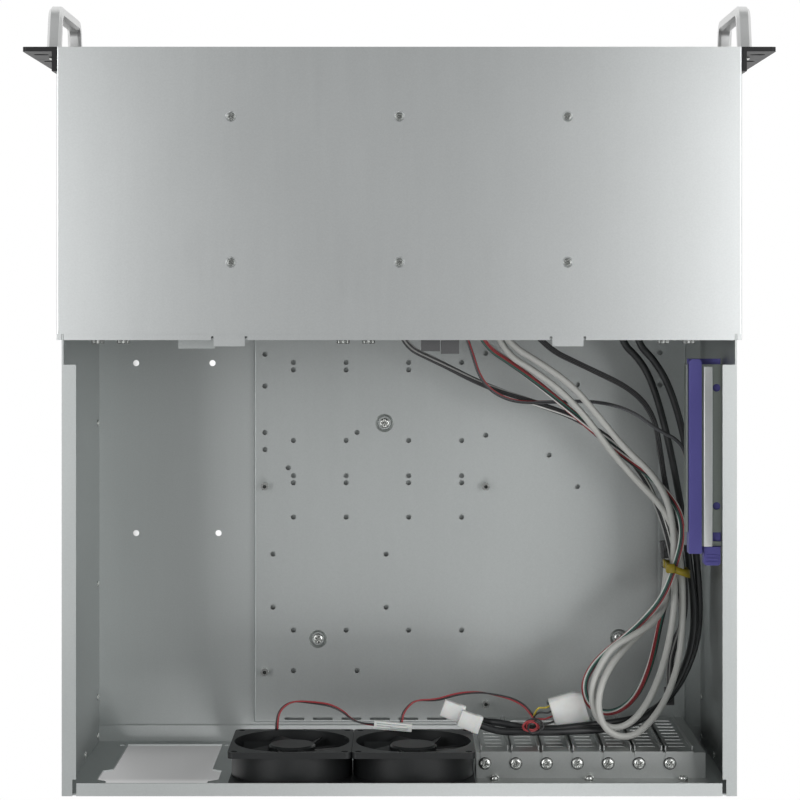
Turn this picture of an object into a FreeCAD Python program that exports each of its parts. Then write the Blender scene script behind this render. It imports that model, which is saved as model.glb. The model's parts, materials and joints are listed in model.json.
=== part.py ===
"""Empty 4U rackmount server case with its rear lid off.

Frame: +Z up, the rack-ear front faces -Y, +X to the right seen from the front. The origin is on
the underside of the floor, midway between the front plane and the outside of the rear wall.
All sizes are in millimetres.
"""
import FreeCAD, Part
import math
import os

Vec = FreeCAD.Vector

# ---------------------------------------------------------------- driving dimensions
SHEET = 1.2                  # galvanised sheet of the tub, cover, panels and brackets
DEPTH = 480.0                # front plane of the ears to the outside of the rear wall
HEIGHT = 177.0               # four rack units
COVER_W = 439.0              # outside the front cover's skirts
BODY_INSET = 3.2             # from the cover's skirts in to the tub's walls behind them
COVER_D = 187.8              # front plane to the rear edge of the cover's hem
EAR_W = 21.8                 # each rack ear beyond the cover: 482.6 across the two
SNUG = 0.2                   # clearance between sheets that are screwed together
RUN = 0.4                    # clearance round a part that moves
HOLE_SIDES = 12              # small holes and screws are twelve-sided

# side walls of the tub
FLANGE_W = 9.2               # top flanges of the side walls
FLANGE_START = 15.8          # from the cover's hem to where the top flanges begin
REAR_FLANGE_W = 8.3          # top flange of the rear wall
FOOT_FLANGE_W = 11.5         # bottom flange of the rear wall, on the floor

CORNER_RELIEF = 2.4          # gap between the side flanges and the rear flange
JOGGLE_BEFORE = 2.8          # from the inward step of the side walls to the hem
JOGGLE_L = 4.0
PSU_FLOOR_IN = (26.3, 81.0)  # floor holes of the power supply, in from the left wall
PSU_FLOOR_SHIFT = 4.3        # fourth hole further in
PSU_FLOOR_FRONT = 20.5       # from the cover's hem to the front pair
PSU_FLOOR_REAR = 150.0       # from the rear wall to the rear pair
PSU_FLOOR_HOLE_R = 2.15

# front cover
HEM_W = 4.0                  # rear hem, one sheet lower than the cover
LIP_H = 16.0                 # lip folded down from the hem
COVER_HOLE_PITCH_X = 107.8
COVER_HOLE_PITCH_Y = 93.4
COVER_HOLE_Y = 137.9         # front plane to the rear row of dimples
DIMPLE_R = 3.6               # countersunk dimple of the cover
COVER_SCREW_R = 1.6
TAB_W = 20.0                 # locating tabs behind the hem
TAB_L = 4.0
TAB_X = (109.0, -108.0)

# rack ears and handles
EAR_T = 3.0
EAR_LEG = 15.6               # depth of the leg along the cover's side
RACK_HOLE_IN = 8.75          # from the ear's edge to its slots: 465.1 between the two rows
RACK_UNIT = 44.45
RACK_SLOT_W = 6.8
RACK_SLOT_L = 10.0
HANDLE_W = 9.2               # round-edged flat bar, across the rack
HANDLE_T = 8.0               # the bar's other way
HANDLE_REACH = 32.0
HANDLE_GRIP = 72.0           # straight part of the grip
HANDLE_FEET = 100.0          # between the centres of the two feet
HANDLE_OUT = 7.1             # middle of the handle beyond the cover
EAR_SCREW_R = 1.8
EAR_SCREW_IN = 9.0           # front plane to the screws of the ear's leg
EAR_SCREW_PITCH = 58.0
HANDLE_SCREW_R = 2.0
HANDLE_BEND = 13.0           # outside radius of the bends
HANDLE_ROUND = 1.8           # edges of the bar
HANDLE_TAP = 10.0            # depth of the threaded holes in the feet
EAR_CORNER = 2.5

# drive cage for three 5.25-inch bays
BAY_W = 146.6
BAY_H = 41.8
BAY_COUNT = 3
BAY_PITCH = 42.6
BAY_IN = 108.1               # middle of the bays, in from the left wall
BAY_DROP = 6.8               # from the underside of the cover to the top bay
BAY_COVER_D = 9.0
BAY_COVER_PROUD = 0.6
CAGE_FOOT = 10.0
CAGE_SLOT_Y = (42.0, 121.25)  # drive slots of the cage's sides, from the front panel
CAGE_SLOT_L = 12.0
CAGE_SLOT_W = 3.6
CAGE_WINDOW_IN = (22.0, 30.0)  # rim of the shelf's window, across and along
STRAP_DROP = 11.0            # from the top bay to the top of the strap behind the bays
STRAP_H = 12.0
CATCH_OUT = 25.4             # small tongue of the strap, from the middle of the bays
CATCH_W = 23.8
CATCH_L = 6.2
THUMB_PAIR = 16.4            # between the two screws of a pair
THUMB_OUT = 79.0             # pairs on the cage, from the middle of the bays
POST_IN = 36.7               # third pair and its post, in from the right wall
THUMB_DROP = 9.3             # screws below the underside of the cover
THUMB_R = 4.0
THUMB_HEAD = 3.5
THUMB_SHANK = 1.7
THUMB_LENGTH = 6.0
THUMB_FLANGE = 14.0          # half the width of the flange behind a pair of screws
POST_D = 26.0

# front fan and controls
FRONT_FAN = 120.0
FRONT_FAN_HOLE = 105.0
FRONT_FAN_IN = 97.1          # in from the right wall
FRONT_FAN_UP = 3.5           # above the middle of the front
POWER_Z = 134.0
POWER_R = 7.0
RESET_Z = 114.0
RESET_R = 3.0
LED_Z = 101.0
LED_PITCH = 8.0
LED_R = 1.5
LED_PROUD = 0.6
USB_Z = (72.0, 86.0)
USB_W = 13.4
USB_H = 5.9
PANEL_RETURN = 12.0          # flanges of the front panel
BUTTON_PROUD = 2.2
BUTTON_TRAVEL = 1.2
BOARD_GAP = 6.8              # from the front panel to the board of the controls
BOARD_T = 1.6
BOARD_FROM_FAN = 16.0        # board of the controls, from the front fan
BOARD_FROM_BAY = 11.7        # and from the bays
BOARD_Z = (60.0, 148.0)
HEADER_IN = 4.0              # cable header, in from the board's ends
HEADER_Z = (84.0, 100.0)
HEADER_D = 8.0
CLIPS = ((-20.1, 12.2, 7.3), (-32.7, 11.6, 9.0))   # cable clips on the lip: x, width, depth

# fan grilles, cut in the panels
GRILLE_RINGS = 3
GRILLE_SPOKES = 4
GRILLE_CORE = 0.3            # radius of the plain middle as a share of the grille's
GRILLE_BAR = 2.4
GRILLE_RIM = 3.0             # from the fan's edge to the grille
FRONT_GRILLE_BAR = 3.2
FRONT_GRILLE_RIM = 6.0

# rear fans
FAN = 80.0
FAN_D = 25.0
FAN_HOLE = 71.5
FAN_DROP = 48.3              # from the underside of the lid's seat to the middle of a fan
FAN_IN = (144.1, 224.3)      # middles of the two fans, in from the left wall
FAN_SCREW_R = 2.0
FAN_FLANGE = 4.0
FAN_WALL = 2.0
FAN_CORNER = 4.0
FAN_LIP = 2.0
MOTOR_R = 16.0
MOTOR_T = 2.6
STRUT_W = 4.0
PIN_R = 1.5
PIN_L = 6.0
HUB_R = 15.5
HUB_EDGE = 1.2
BLADES = 7
BLADE_GAP = 1.2
BLADE_T = 1.5
BLADE_CHORD = 0.66           # blade width over the radius of the tips
BLADE_CAMBER = 0.12
BLADE_ROOT = 5.0             # how far a blade runs into the hub

# power-supply opening
PSU_IN = (22.1, 89.1)        # sides of the opening, in from the left wall
PSU_Z = (13.0, 150.0)
PSU_NOTCH = 6.5
PSU_NOTCH_Z = (103.0, 131.0)
PSU_SLANT = 5.0
PSU_HOLE_OUT = 3.6
PSU_SCREW_R = 1.9

# board tray, its standoffs and the board opening
TRAY_IN = (11.1, 111.3)      # in from the right wall, and from the left one
TRAY_REAR = 15.8             # from the outside of the rear wall
TRAY_TOP = 6.0
DATUM_IN = 118.9             # corner standoff of the board pattern, in from the left wall
DATUM_REAR = 29.2            # and from the outside of the rear wall
HOLE_R = 1.8
STANDOFF_H = 6.5
STANDOFF_AF = 5.0
STANDOFF_STEM = 1.9
STANDOFF_BORE = 1.25
DIMPLE_SCREW_R = 6.5         # outside of the tray's dimples
TRAY_SCREW_R = 1.8
TRAY_SCREWS = ((85.3, 199.9), (37.8, 45.7), (252.7, 46.4))
TRAY_BEND = 1.0
TRAY_ROW_F = 243.2
SLIT_COUNT = 14
SLIT_START = 21.0            # first slit, across from the corner standoff
SLIT_BACK = 11.1             # row of slits behind the corner standoff
SLIT_L = 14.0
SLIT_W = 1.6
BEAD_IN = 19.9               # from the tray's right edge
BEAD_W = 2.0
BEAD_H = 0.7
IO_IN = (105.85, 264.6)      # sides of the connector plate's opening, in from the left wall
IO_Z = (10.5, 54.95)

# expansion slots
SLOT_PITCH = 20.32
SLOT_FIRST = 5.7             # from the bracket's edge to the first slot's screw
SLOT_SCREW_REAR = 12.2       # from the outside of the rear wall to the slots' screws
SLOT_OFFSET = 6.4            # from a slot's screw to the middle of its cover
SLOT_IN = (13.3, 265.8)      # slot bracket, in from the right wall and from the left one
SLOT_REAR = 19.2             # its inside face, from the outside of the rear wall
LEDGE_Z = 132.0
UPSTAND_H = 14.0
SLOT_COVER_W = 18.4
SLOT_COVER_T = 0.8
SLOT_COVER_FOLD = 3.0
VENT_COUNT = 9
VENT_W = 11.0
VENT_H = 2.6
SLOT_WINDOW = 14.0
SLOT_SILL = 12.0
SLOT_SCREW_R = 1.5
UPSTAND_SCREWS = (0.0775, 0.49, 0.899)   # across the bracket, as shares of its width
UPSTAND_SCREW_UP = 5.0

# spare drive rail on the right wall
HOLDER_START = 17.4          # from the cover's hem to the holder
HOLDER_L = 120.6
HOLDER_LIP_L = 111.2
HOLDER_LIP_IN = 25.0         # outside of the holder's inner lip, in from the right wall
HOLDER_STEP_IN = 14.6        # inner edge of the holder's raised strip
HOLDER_STEP_W = 5.8
HOLDER_STEP_H = 3.4
RAIL_Z = 114.4               # underside of the rail
RAIL_T = 4.6                 # flat base of the rail
RAIL_RIB_H = 12.0            # raised inner strip of the rail
RAIL_FRONT = 3.7             # rail beyond the holder at the front
RAIL_END = 12.7              # grip tab beyond the holder
RAIL_SHOULDER = 4.6          # rail beyond the holder
GRIP_IN = (2.2, 13.2)        # grip tab, in from the right wall
GRIP_T = 9.0
GRIP_RIB = 1.2
RAIL_BOSSES = (12.2, 86.7)   # from the holder's start
HOLDER_WALL_H = 14.0
HOLDER_HOLES = (15.6, 94.1)  # from the holder's start
HOLDER_HOLE_R = 2.6
CLIP_H = 10.0

# ---------------------------------------------------------------- places worked out from them
RACK_W = COVER_W + 2 * EAR_W
BODY_W = COVER_W - 2 * BODY_INSET
Y_FRONT = -DEPTH / 2
Y_REAR = DEPTH / 2
Y_HEM = Y_FRONT + COVER_D
SEAT_Z = HEIGHT - SHEET      # top of the flanges and of the hem, where the lid would lie
FRONT_HALF = COVER_W / 2 - SHEET
BODY_HALF = BODY_W / 2
WALL_IN = BODY_HALF - SHEET
WALL_Y = Y_REAR - SHEET      # inside face of the rear wall
FACE_Y = Y_FRONT + SHEET     # inside face of the front panel
FAN_Y = WALL_Y - FAN_D       # inner faces of the rear fans
FAN_X = [WALL_IN - inward for inward in FAN_IN]
FAN_Z = SEAT_Z - FAN_DROP
EAR_SCREW_Y = Y_FRONT + EAR_SCREW_IN
HANDLE_X = COVER_W / 2 + HANDLE_OUT
RACK_HOLE_X = RACK_W / 2 - RACK_HOLE_IN
RACK_UNITS = int(HEIGHT / RACK_UNIT + 0.2)
BAY_X = WALL_IN - BAY_IN
BAY_TOP = SEAT_Z - BAY_DROP
BAY_Z = BAY_TOP - BAY_COUNT * BAY_PITCH + BAY_PITCH - BAY_H
THUMB_X = (BAY_X + THUMB_OUT, BAY_X - THUMB_OUT, POST_IN - WALL_IN)
THUMB_Z = SEAT_Z - THUMB_DROP
FRONT_FAN_X = FRONT_FAN_IN - WALL_IN
FRONT_FAN_Z = HEIGHT / 2 + FRONT_FAN_UP
BOARD_X = (FRONT_FAN_X + FRONT_FAN / 2 + BOARD_FROM_FAN, BAY_X - BAY_W / 2 - BOARD_FROM_BAY)
BUTTON_X = (BOARD_X[0] + BOARD_X[1]) / 2
BOARD_Y = FACE_Y + BOARD_GAP
PSU_X = (WALL_IN - PSU_IN[1], WALL_IN - PSU_IN[0])
IO_X = (WALL_IN - IO_IN[1], WALL_IN - IO_IN[0])
TRAY_X = (TRAY_IN[0] - WALL_IN, WALL_IN - TRAY_IN[1])
TRAY_Y = (Y_HEM + SNUG, Y_REAR - TRAY_REAR)
DATUM_X = WALL_IN - DATUM_IN
DATUM_Y = Y_REAR - DATUM_REAR
SLOT_X = (SLOT_IN[0] - WALL_IN, WALL_IN - SLOT_IN[1])
SLOT_Y = Y_REAR - SLOT_REAR
SLOT_SCREW_X = SLOT_X[1] - SLOT_FIRST
SLOT_SCREW_Y = Y_REAR - SLOT_SCREW_REAR
SLOT_COUNT = int((SLOT_X[1] - SLOT_X[0]) // SLOT_PITCH)
UPSTAND_SCREW_X = [SLOT_X[1] - share * (SLOT_X[1] - SLOT_X[0]) for share in UPSTAND_SCREWS]
UPSTAND_SCREW_Z = LEDGE_Z + UPSTAND_SCREW_UP
HOLDER_Y = (Y_HEM + HOLDER_START, Y_HEM + HOLDER_START + HOLDER_L)
HOLDER_LIP_X = HOLDER_LIP_IN - WALL_IN
HOLDER_STEP_X = HOLDER_STEP_IN - WALL_IN

# ---------------------------------------------------------------- cords
# Diameter of each cord, and the points of its route from its exit to its far end.
CORDS = {
    "usb_lead_1": (4.6, [
        (-18, -222.4, 94.5), (-18, -182, 94.5), (-32, -132, 93), (-52, -84, 88), (-74, -47.5, 83),
        (-96, -34.5, 79), (-118, -19, 77), (-135.5, 1.5, 76), (-153.5, 24, 76), (-171, 39.5, 76),
        (-183, 57.5, 75), (-188, 81, 73), (-188, 106, 70), (-189, 128.5, 70), (-186, 150.5, 72),
        (-179.5, 174, 79), (-169.5, 193.5, 90), (-155, 206.5, 100), (-140, 211, 105), (-127, 205.5, 106),
        (-121, 193, 104), (-124, 180, 102), (-132.5, 168, 98), (-143.5, 156.5, 94), (-159, 150, 88),
        (-172, 144, 78), (-180, 131.5, 64), (-180.5, 116, 49), (-177, 102, 49)]),
    "usb_lead_2": (4.6, [
        (-26, -222.4, 88.5), (-26, -182, 88.5), (-40, -132, 87), (-58, -84, 82), (-69.5, -42.5, 77),
        (-93.5, -28, 73), (-112.5, -13.5, 71), (-129.5, 5, 70), (-145, 26.5, 70), (-163.5, 47.5, 69),
        (-180.5, 64.5, 68), (-190.5, 84.5, 67), (-193.5, 105.5, 67), (-195, 129.5, 65), (-194, 152, 68),
        (-190.5, 173, 75), (-181.5, 193, 86), (-169.5, 205.5, 98), (-157, 213.5, 107), (-144, 214, 112),
        (-131, 208, 113), (-126, 195.5, 111), (-129, 181, 108), (-139, 169.5, 100), (-153, 158.5, 86),
        (-166.5, 149.5, 68), (-176.5, 138.5, 52), (-180.5, 127, 42), (-180.5, 110, 42)]),
    "panel_ribbon": (4.4, [
        (10, -222.4, 91), (10, -190, 91), (8, -142, 80), (3, -94, 66), (1, -47.5, 56), (-28, -33.5, 50),
        (-61, -16.5, 46), (-93, -6, 46), (-124, 5, 49), (-150, 22, 54), (-168, 43, 58), (-179, 66.5, 61),
        (-185.5, 88, 62.5), (-189, 107, 63), (-193.5, 127, 61), (-196, 147, 57), (-191, 163, 50),
        (-188, 178, 44), (-188, 193, 44)]),
    "panel_wires": (4.4, [
        (-8, -222.4, 90), (-8, -185, 90), (-22, -137, 86), (-42, -90, 78), (-56, -47.5, 69),
        (-79.5, -32, 65), (-100, -16, 63), (-120.5, 1.5, 61), (-139.5, 18, 61), (-157.5, 32.5, 62),
        (-176.5, 46.5, 65), (-193, 65.5, 70.5), (-191.5, 81.5, 79.5), (-182, 102, 81), (-176.5, 123.5, 77),
        (-166.5, 139.5, 74), (-154.5, 154, 71), (-142.5, 163.5, 69), (-132, 174, 69), (-126, 186, 70),
        (-128.5, 199.5, 69), (-138.5, 206.5, 67), (-149, 206.5, 64), (-159, 201, 60), (-167, 191.5, 56),
        (-173.5, 177.5, 52), (-178, 163.5, 44), (-179, 152, 37), (-181.5, 136, 34), (-181.5, 120, 34)]),
    "thin_lead": (2.6, [
        (2, -222.4, 95.5), (2, -188, 95.5), (-10, -140, 90), (-30, -94, 78), (-48.5, -46, 62),
        (-57, -18.5, 54), (-78, -5.5, 50), (-108, -6.5, 52), (-136, -7.5, 62), (-158.5, -2, 74),
        (-175.5, 11, 82), (-192.5, 19.5, 80), (-198.5, 38, 70), (-199.5, 60, 58), (-200, 81, 58)]),
    "black_lead_1": (4, [
        (-33, -222.4, 92), (-33, -186, 92), (-48, -138, 82), (-68, -92, 70), (-97, -46, 60),
        (-130.5, -30, 56), (-161, -15.5, 56), (-176, 2.5, 57), (-180, 26.5, 58), (-184, 53, 58),
        (-191, 78.5, 57), (-195.5, 104, 57), (-198.5, 126.5, 55), (-197.5, 146.5, 51), (-192, 159, 42),
        (-190, 173, 36), (-190, 188, 36)]),
    "black_lead_2": (5, [
        (-152, -213.8, 40), (-152, -180, 40), (-156, -132, 48), (-157, -92, 56), (-158.5, -49.5, 60),
        (-171, -30.5, 60), (-177.5, -12.5, 60), (-184, 8.5, 58), (-189, 33.5, 54), (-194, 59, 51),
        (-198.5, 84, 50), (-201.5, 109, 50), (-204.5, 134, 52), (-203, 158, 58), (-195.5, 177.5, 66),
        (-185.5, 192, 75), (-171.5, 204, 84), (-154.5, 211, 91), (-136.5, 212.5, 97), (-118.5, 212.5, 101),
        (-101, 213, 103), (-83.5, 212.5, 104), (-73, 213, 102), (-63.5, 212.3, 100), (-54.5, 209, 100)]),
    "black_lead_3": (5, [
        (-163, -213.8, 46), (-163, -180, 46), (-160, -132, 56), (-159, -92, 64), (-160, -49, 67),
        (-176.5, -32.5, 67), (-186.5, -14, 66), (-194.5, 8, 63), (-200, 35, 58), (-203.5, 61.5, 54),
        (-205, 89.5, 51), (-207.5, 114.5, 49), (-209, 137.5, 47), (-207, 161, 48), (-198.5, 180.5, 55),
        (-187.5, 195, 64), (-173, 204.5, 74), (-155, 209, 83), (-136.5, 210, 89), (-118.5, 211, 94),
        (-101, 212.5, 95.5), (-83.5, 211.5, 96), (-67, 208, 94), (-56, 208.4, 90), (-43.3, 203.7, 90)]),
    "fan_lead_1": (2.4, [
        (83.2, 213.8, 89.2), (83.2, 206, 89.2), (80, 199.3, 87), (72.5, 195.2, 84), (57, 197, 82),
        (46.5, 198.5, 83), (37.5, 202.5, 87), (33, 206.3, 92), (25.5, 208.6, 95), (17.3, 209.3, 95)]),
    "fan_lead_2": (2.4, [
        (-1, 213.8, 88.9), (-1, 206, 88.9), (-4.5, 199.5, 87), (-11, 194.5, 84), (-25, 195.5, 81),
        (-38.5, 191.5, 79), (-53.5, 190, 79), (-67.5, 192, 81), (-75.5, 194.3, 84.5), (-82, 200, 86),
        (-84, 207, 86)]),
    "power_lead": (6, [
        (-105.7, 205.4, 86), (-98.5, 207.5, 86), (-91.5, 208.5, 86), (-84, 207, 86)]),
}
BEND_SHARE = 0.45            # part of the shorter run that a bend takes up
PLUG_L = 12.0                # plugs on the ends of the front panel's cords
PLUG_RIM = 1.6               # plug beyond the cord's side
FAN_PLUG = (13.6, 10.0, 6.0)   # small two-pin connectors of the rear fans
JOINT_PLUG = (25.7, 6.0, 6.0)
POWER_PLUG = (21.0, 21.5, 9.0)   # four-pin connector
TIE_AT = 106.5               # cable tie round the hanging bundle
TIE_W = 4.0
TIE_T = 1.2
TIE_SIZE = (24.4, 32.4)
TIE_CORNER = 4.5
TIE_X = -187.9
TIE_Z = 69.1

os.makedirs("parts", exist_ok=True)


# ---------------------------------------------------------------- helpers
def box(x0, x1, y0, y1, z0, z1):
    """Block between two corners."""
    low = Vec(min(x0, x1), min(y0, y1), min(z0, z1))
    return Part.makeBox(abs(x1 - x0), abs(y1 - y0), abs(z1 - z0), low)


def rod(x, y, z, radius, length, axis=(0, 0, 1)):
    """Cylinder that starts at a point and runs along an axis."""
    return Part.makeCylinder(radius, length, Vec(x, y, z), Vec(*axis))


def hole(x, y, z, radius, length, axis=(0, 0, 1)):
    """Twelve-sided prism round a small hole or screw."""
    along = Vec(*axis)
    side = Vec(1, 0, 0) if axis[0] == 0 else Vec(0, 1, 0)
    other = along.cross(side)
    reach = radius / math.cos(math.pi / HOLE_SIDES)
    turns = [2 * math.pi * (k + 0.5) / HOLE_SIDES for k in range(HOLE_SIDES)]
    corners = [Vec(x, y, z) + side * (reach * math.cos(a)) + other * (reach * math.sin(a)) for a in turns]
    return Part.Face(Part.makePolygon(corners + corners[:1])).extrude(along * length)


def prism(points, vector):
    """Closed outline swept along a vector."""
    corners = [Vec(*p) for p in points]
    face = Part.Face(Part.makePolygon(corners + corners[:1]))
    return face.extrude(Vec(*vector))


def fuse(pieces):
    """Union of several solids, with seams between coplanar faces removed."""
    pieces = list(pieces)
    whole = pieces[0].multiFuse(pieces[1:]) if len(pieces) > 1 else pieces[0]
    return whole.removeSplitter()


def revolve(profile, centre, axis=(0, 0, 1), side=(1, 0, 0)):
    """Turn a profile of (radius, height) points about an axis through a centre."""
    along = Vec(*axis)
    out = Vec(*side)
    middle = Vec(*centre)
    corners = [middle + out * r + along * h for r, h in profile]
    face = Part.Face(Part.makePolygon(corners + corners[:1]))
    return face.revolve(middle, along, 360)


def rounded_plate(cx, cz, wide, high, corner, y0, y1):
    """Plate in the XZ plane with rounded corners, between two depths."""
    plate = box(cx - wide / 2, cx + wide / 2, y0, y1, cz - high / 2, cz + high / 2)
    edges = [e for e in plate.Edges if abs(e.tangentAt(e.FirstParameter).y) > 0.9]
    return plate.makeFillet(corner, edges)


def arc_slot(cx, cz, inner, outer, start, sweep, y0, y1):
    """Sector of a ring in the XZ plane, for a fan grille."""
    ring = Part.makeCylinder(outer, y1 - y0, Vec(cx, y0, cz), Vec(0, 1, 0), sweep)
    core = Part.makeCylinder(inner, y1 - y0, Vec(cx, y0, cz), Vec(0, 1, 0), 360)
    sector = ring.cut(core)
    sector.rotate(Vec(cx, 0, cz), Vec(0, 1, 0), start)
    return sector


def grille(cx, cz, reach, bar, y0, y1):
    """Rings of arc slots round a plain middle."""
    inner = reach * GRILLE_CORE
    step = (reach - inner) / GRILLE_RINGS
    quarter = 360.0 / GRILLE_SPOKES
    slots = []
    for ring in range(GRILLE_RINGS):
        r0 = inner + ring * step
        r1 = r0 + step - bar
        gap = math.degrees(bar * 1.6 / r0)
        for spoke in range(GRILLE_SPOKES):
            slots.append(arc_slot(cx, cz, r0, r1, spoke * quarter + gap / 2, quarter - gap, y0, y1))
    return slots


def corner_points(cx, cz, pitch):
    """The four fixing points of a square fan."""
    half = pitch / 2
    return [(cx + i * half, cz + k * half) for i in (-1, 1) for k in (-1, 1)]


def save(name, solid):
    """Write one node."""
    solid.exportStep("parts/" + name + ".step")


# ---------------------------------------------------------------- tub
def wall_outline(side, inset):
    """Side wall in plan, with the joggle that the front cover's skirt fills."""
    front = side * (FRONT_HALF - inset)
    rear = side * (BODY_HALF - inset)
    joggle = Y_HEM - HEM_W - SHEET - JOGGLE_BEFORE - JOGGLE_L
    return [(front, FACE_Y), (front, joggle), (rear, joggle + JOGGLE_L), (rear, Y_REAR)]


def flange_outline(side):
    """Top flange of a side wall in plan, narrower beside the rear flange."""
    edge = side * BODY_HALF
    inside = side * (BODY_HALF - FLANGE_W)
    narrow = side * (BODY_HALF - FLANGE_W + CORNER_RELIEF)
    start = Y_HEM + FLANGE_START
    step = Y_REAR - REAR_FLANGE_W - CORNER_RELIEF
    return [(edge, start), (inside, start), (inside, step), (narrow, step), (narrow, Y_REAR), (edge, Y_REAR)]


def ear_screw_points():
    """Screws of each rack ear's leg: side and z."""
    return [(side, HEIGHT / 2 + k * EAR_SCREW_PITCH) for side in (1, -1) for k in (-1, 0, 1)]


def make_tub():
    """Floor, side walls and their top flanges: one folded sheet."""
    left = wall_outline(1, 0.0)
    right = wall_outline(-1, 0.0)
    pieces = [prism([(x, y, 0) for x, y in left + right[::-1]], (0, 0, SHEET))]
    for side in (1, -1):
        wall = wall_outline(side, 0.0) + wall_outline(side, SHEET)[::-1]
        pieces.append(prism([(x, y, 0) for x, y in wall], (0, 0, SEAT_Z)))
        flange = [(x, y, SEAT_Z - SHEET) for x, y in flange_outline(side)]
        pieces.append(prism(flange, (0, 0, SHEET)))
    tub = fuse(pieces)
    near, far = Y_HEM + PSU_FLOOR_FRONT, Y_REAR - PSU_FLOOR_REAR
    outer, inner = PSU_FLOOR_IN
    spots = [(outer, near), (inner, near), (outer, far), (inner + PSU_FLOOR_SHIFT, far)]
    holes = [hole(WALL_IN - inward, y, -1, PSU_FLOOR_HOLE_R, 4) for inward, y in spots]
    holes += [hole(side * (FRONT_HALF - 3), EAR_SCREW_Y, z, EAR_SCREW_R, 6, (side, 0, 0))
              for side, z in ear_screw_points()]
    return tub.cut(holes)


# ---------------------------------------------------------------- rear panel
def psu_opening(y0, y1):
    """Opening for a power supply on its side, with a slanted notch on each side."""
    x0, x1 = PSU_X
    z0, z1 = PSU_Z
    n0, n1 = PSU_NOTCH_Z
    wide = PSU_NOTCH
    outline = [(x0, z0), (x1, z0), (x1, n0 - PSU_SLANT), (x1 + wide, n0), (x1 + wide, n1),
               (x1, n1 + PSU_SLANT), (x1, z1), (x0, z1), (x0, n1 + PSU_SLANT), (x0 - wide, n1),
               (x0 - wide, n0), (x0, n0 - PSU_SLANT)]
    return prism([(x, y0, z) for x, z in outline], (0, y1 - y0, 0))


def psu_screw_points():
    """Fixing holes of the power supply, just outside its opening."""
    x0, x1 = PSU_X
    z0, z1 = PSU_Z
    out = PSU_HOLE_OUT
    return [(x0 - out, z0 + out), (x1 + out, z0 + out), (x1 + out, z1 - out), (x0 - out, z1 - 2 * out)]


def make_rear_panel():
    """Rear wall with flanges on all four sides."""
    wall = box(-WALL_IN, WALL_IN, WALL_Y, Y_REAR, SHEET, SEAT_Z)
    reach = BODY_HALF - FLANGE_W
    top = box(-reach + SNUG, reach - SNUG, Y_REAR - REAR_FLANGE_W, Y_REAR, SEAT_Z - SHEET, SEAT_Z)
    foot = box(-WALL_IN, WALL_IN, WALL_Y - FOOT_FLANGE_W, WALL_Y, SHEET, 2 * SHEET)
    corners = [box(side * reach, side * WALL_IN, WALL_Y - 1, Y_REAR + 1, SEAT_Z - 2 * SHEET, SEAT_Z + 1)
               for side in (1, -1)]
    panel = fuse([wall, top, foot]).cut(corners)
    back = Y_REAR + 1
    cuts = [psu_opening(WALL_Y - 1, back)]
    cuts += [hole(x, WALL_Y - 1, z, PSU_SCREW_R, 4, (0, 1, 0)) for x, z in psu_screw_points()]
    cuts.append(box(IO_X[0], IO_X[1], WALL_Y - 1, back, IO_Z[0], IO_Z[1]))
    cuts.append(box(SLOT_X[0] + SHEET, SLOT_X[1] - SHEET, WALL_Y - 1, back, TRAY_TOP + SHEET, LEDGE_Z - SHEET))
    cuts += [hole(x, WALL_Y - 1, UPSTAND_SCREW_Z, SLOT_SCREW_R + SNUG, 4, (0, 1, 0)) for x in UPSTAND_SCREW_X]
    for x in FAN_X:
        cuts += grille(x, FAN_Z, FAN / 2 - GRILLE_RIM, GRILLE_BAR, WALL_Y - 1, back)
        cuts += [hole(i, WALL_Y - 1, k, FAN_SCREW_R, 4, (0, 1, 0))
                 for i, k in corner_points(x, FAN_Z, FAN_HOLE)]
    return panel.cut(cuts)


# ---------------------------------------------------------------- expansion slots
def slot_screw_xs():
    """Screw of each slot."""
    return [SLOT_SCREW_X - k * SLOT_PITCH for k in range(SLOT_COUNT)]


def make_slot_bracket():
    """Slot plane set inward from the rear wall, its cheeks, ledge and upstand: one folded sheet."""
    x0, x1 = SLOT_X
    face = box(x0, x1, SLOT_Y, SLOT_Y + SHEET, TRAY_TOP, LEDGE_Z)
    ledge = box(x0, x1, SLOT_Y, WALL_Y, LEDGE_Z - SHEET, LEDGE_Z)
    sill = box(x0, x1, SLOT_Y, WALL_Y, TRAY_TOP, TRAY_TOP + SHEET)
    upstand = box(x0, x1, WALL_Y - SHEET, WALL_Y, LEDGE_Z, LEDGE_Z + UPSTAND_H)
    cheeks = [box(x, x + SHEET, SLOT_Y, WALL_Y, TRAY_TOP, LEDGE_Z) for x in (x0, x1 - SHEET)]
    bracket = fuse([face, ledge, sill, upstand] + cheeks)
    cuts = []
    for x in slot_screw_xs():
        middle = x - SLOT_OFFSET
        cuts.append(box(middle - SLOT_WINDOW / 2, middle + SLOT_WINDOW / 2, SLOT_Y - 1, SLOT_Y + 2,
                        TRAY_TOP + SLOT_SILL, LEDGE_Z - 4 * SHEET))
        cuts.append(hole(x, SLOT_SCREW_Y, LEDGE_Z - 3, SLOT_SCREW_R + SNUG, 6))
    cuts += [hole(x, WALL_Y - 3, UPSTAND_SCREW_Z, SLOT_SCREW_R + SNUG, 6, (0, 1, 0)) for x in UPSTAND_SCREW_X]
    return bracket.cut(cuts)


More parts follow.
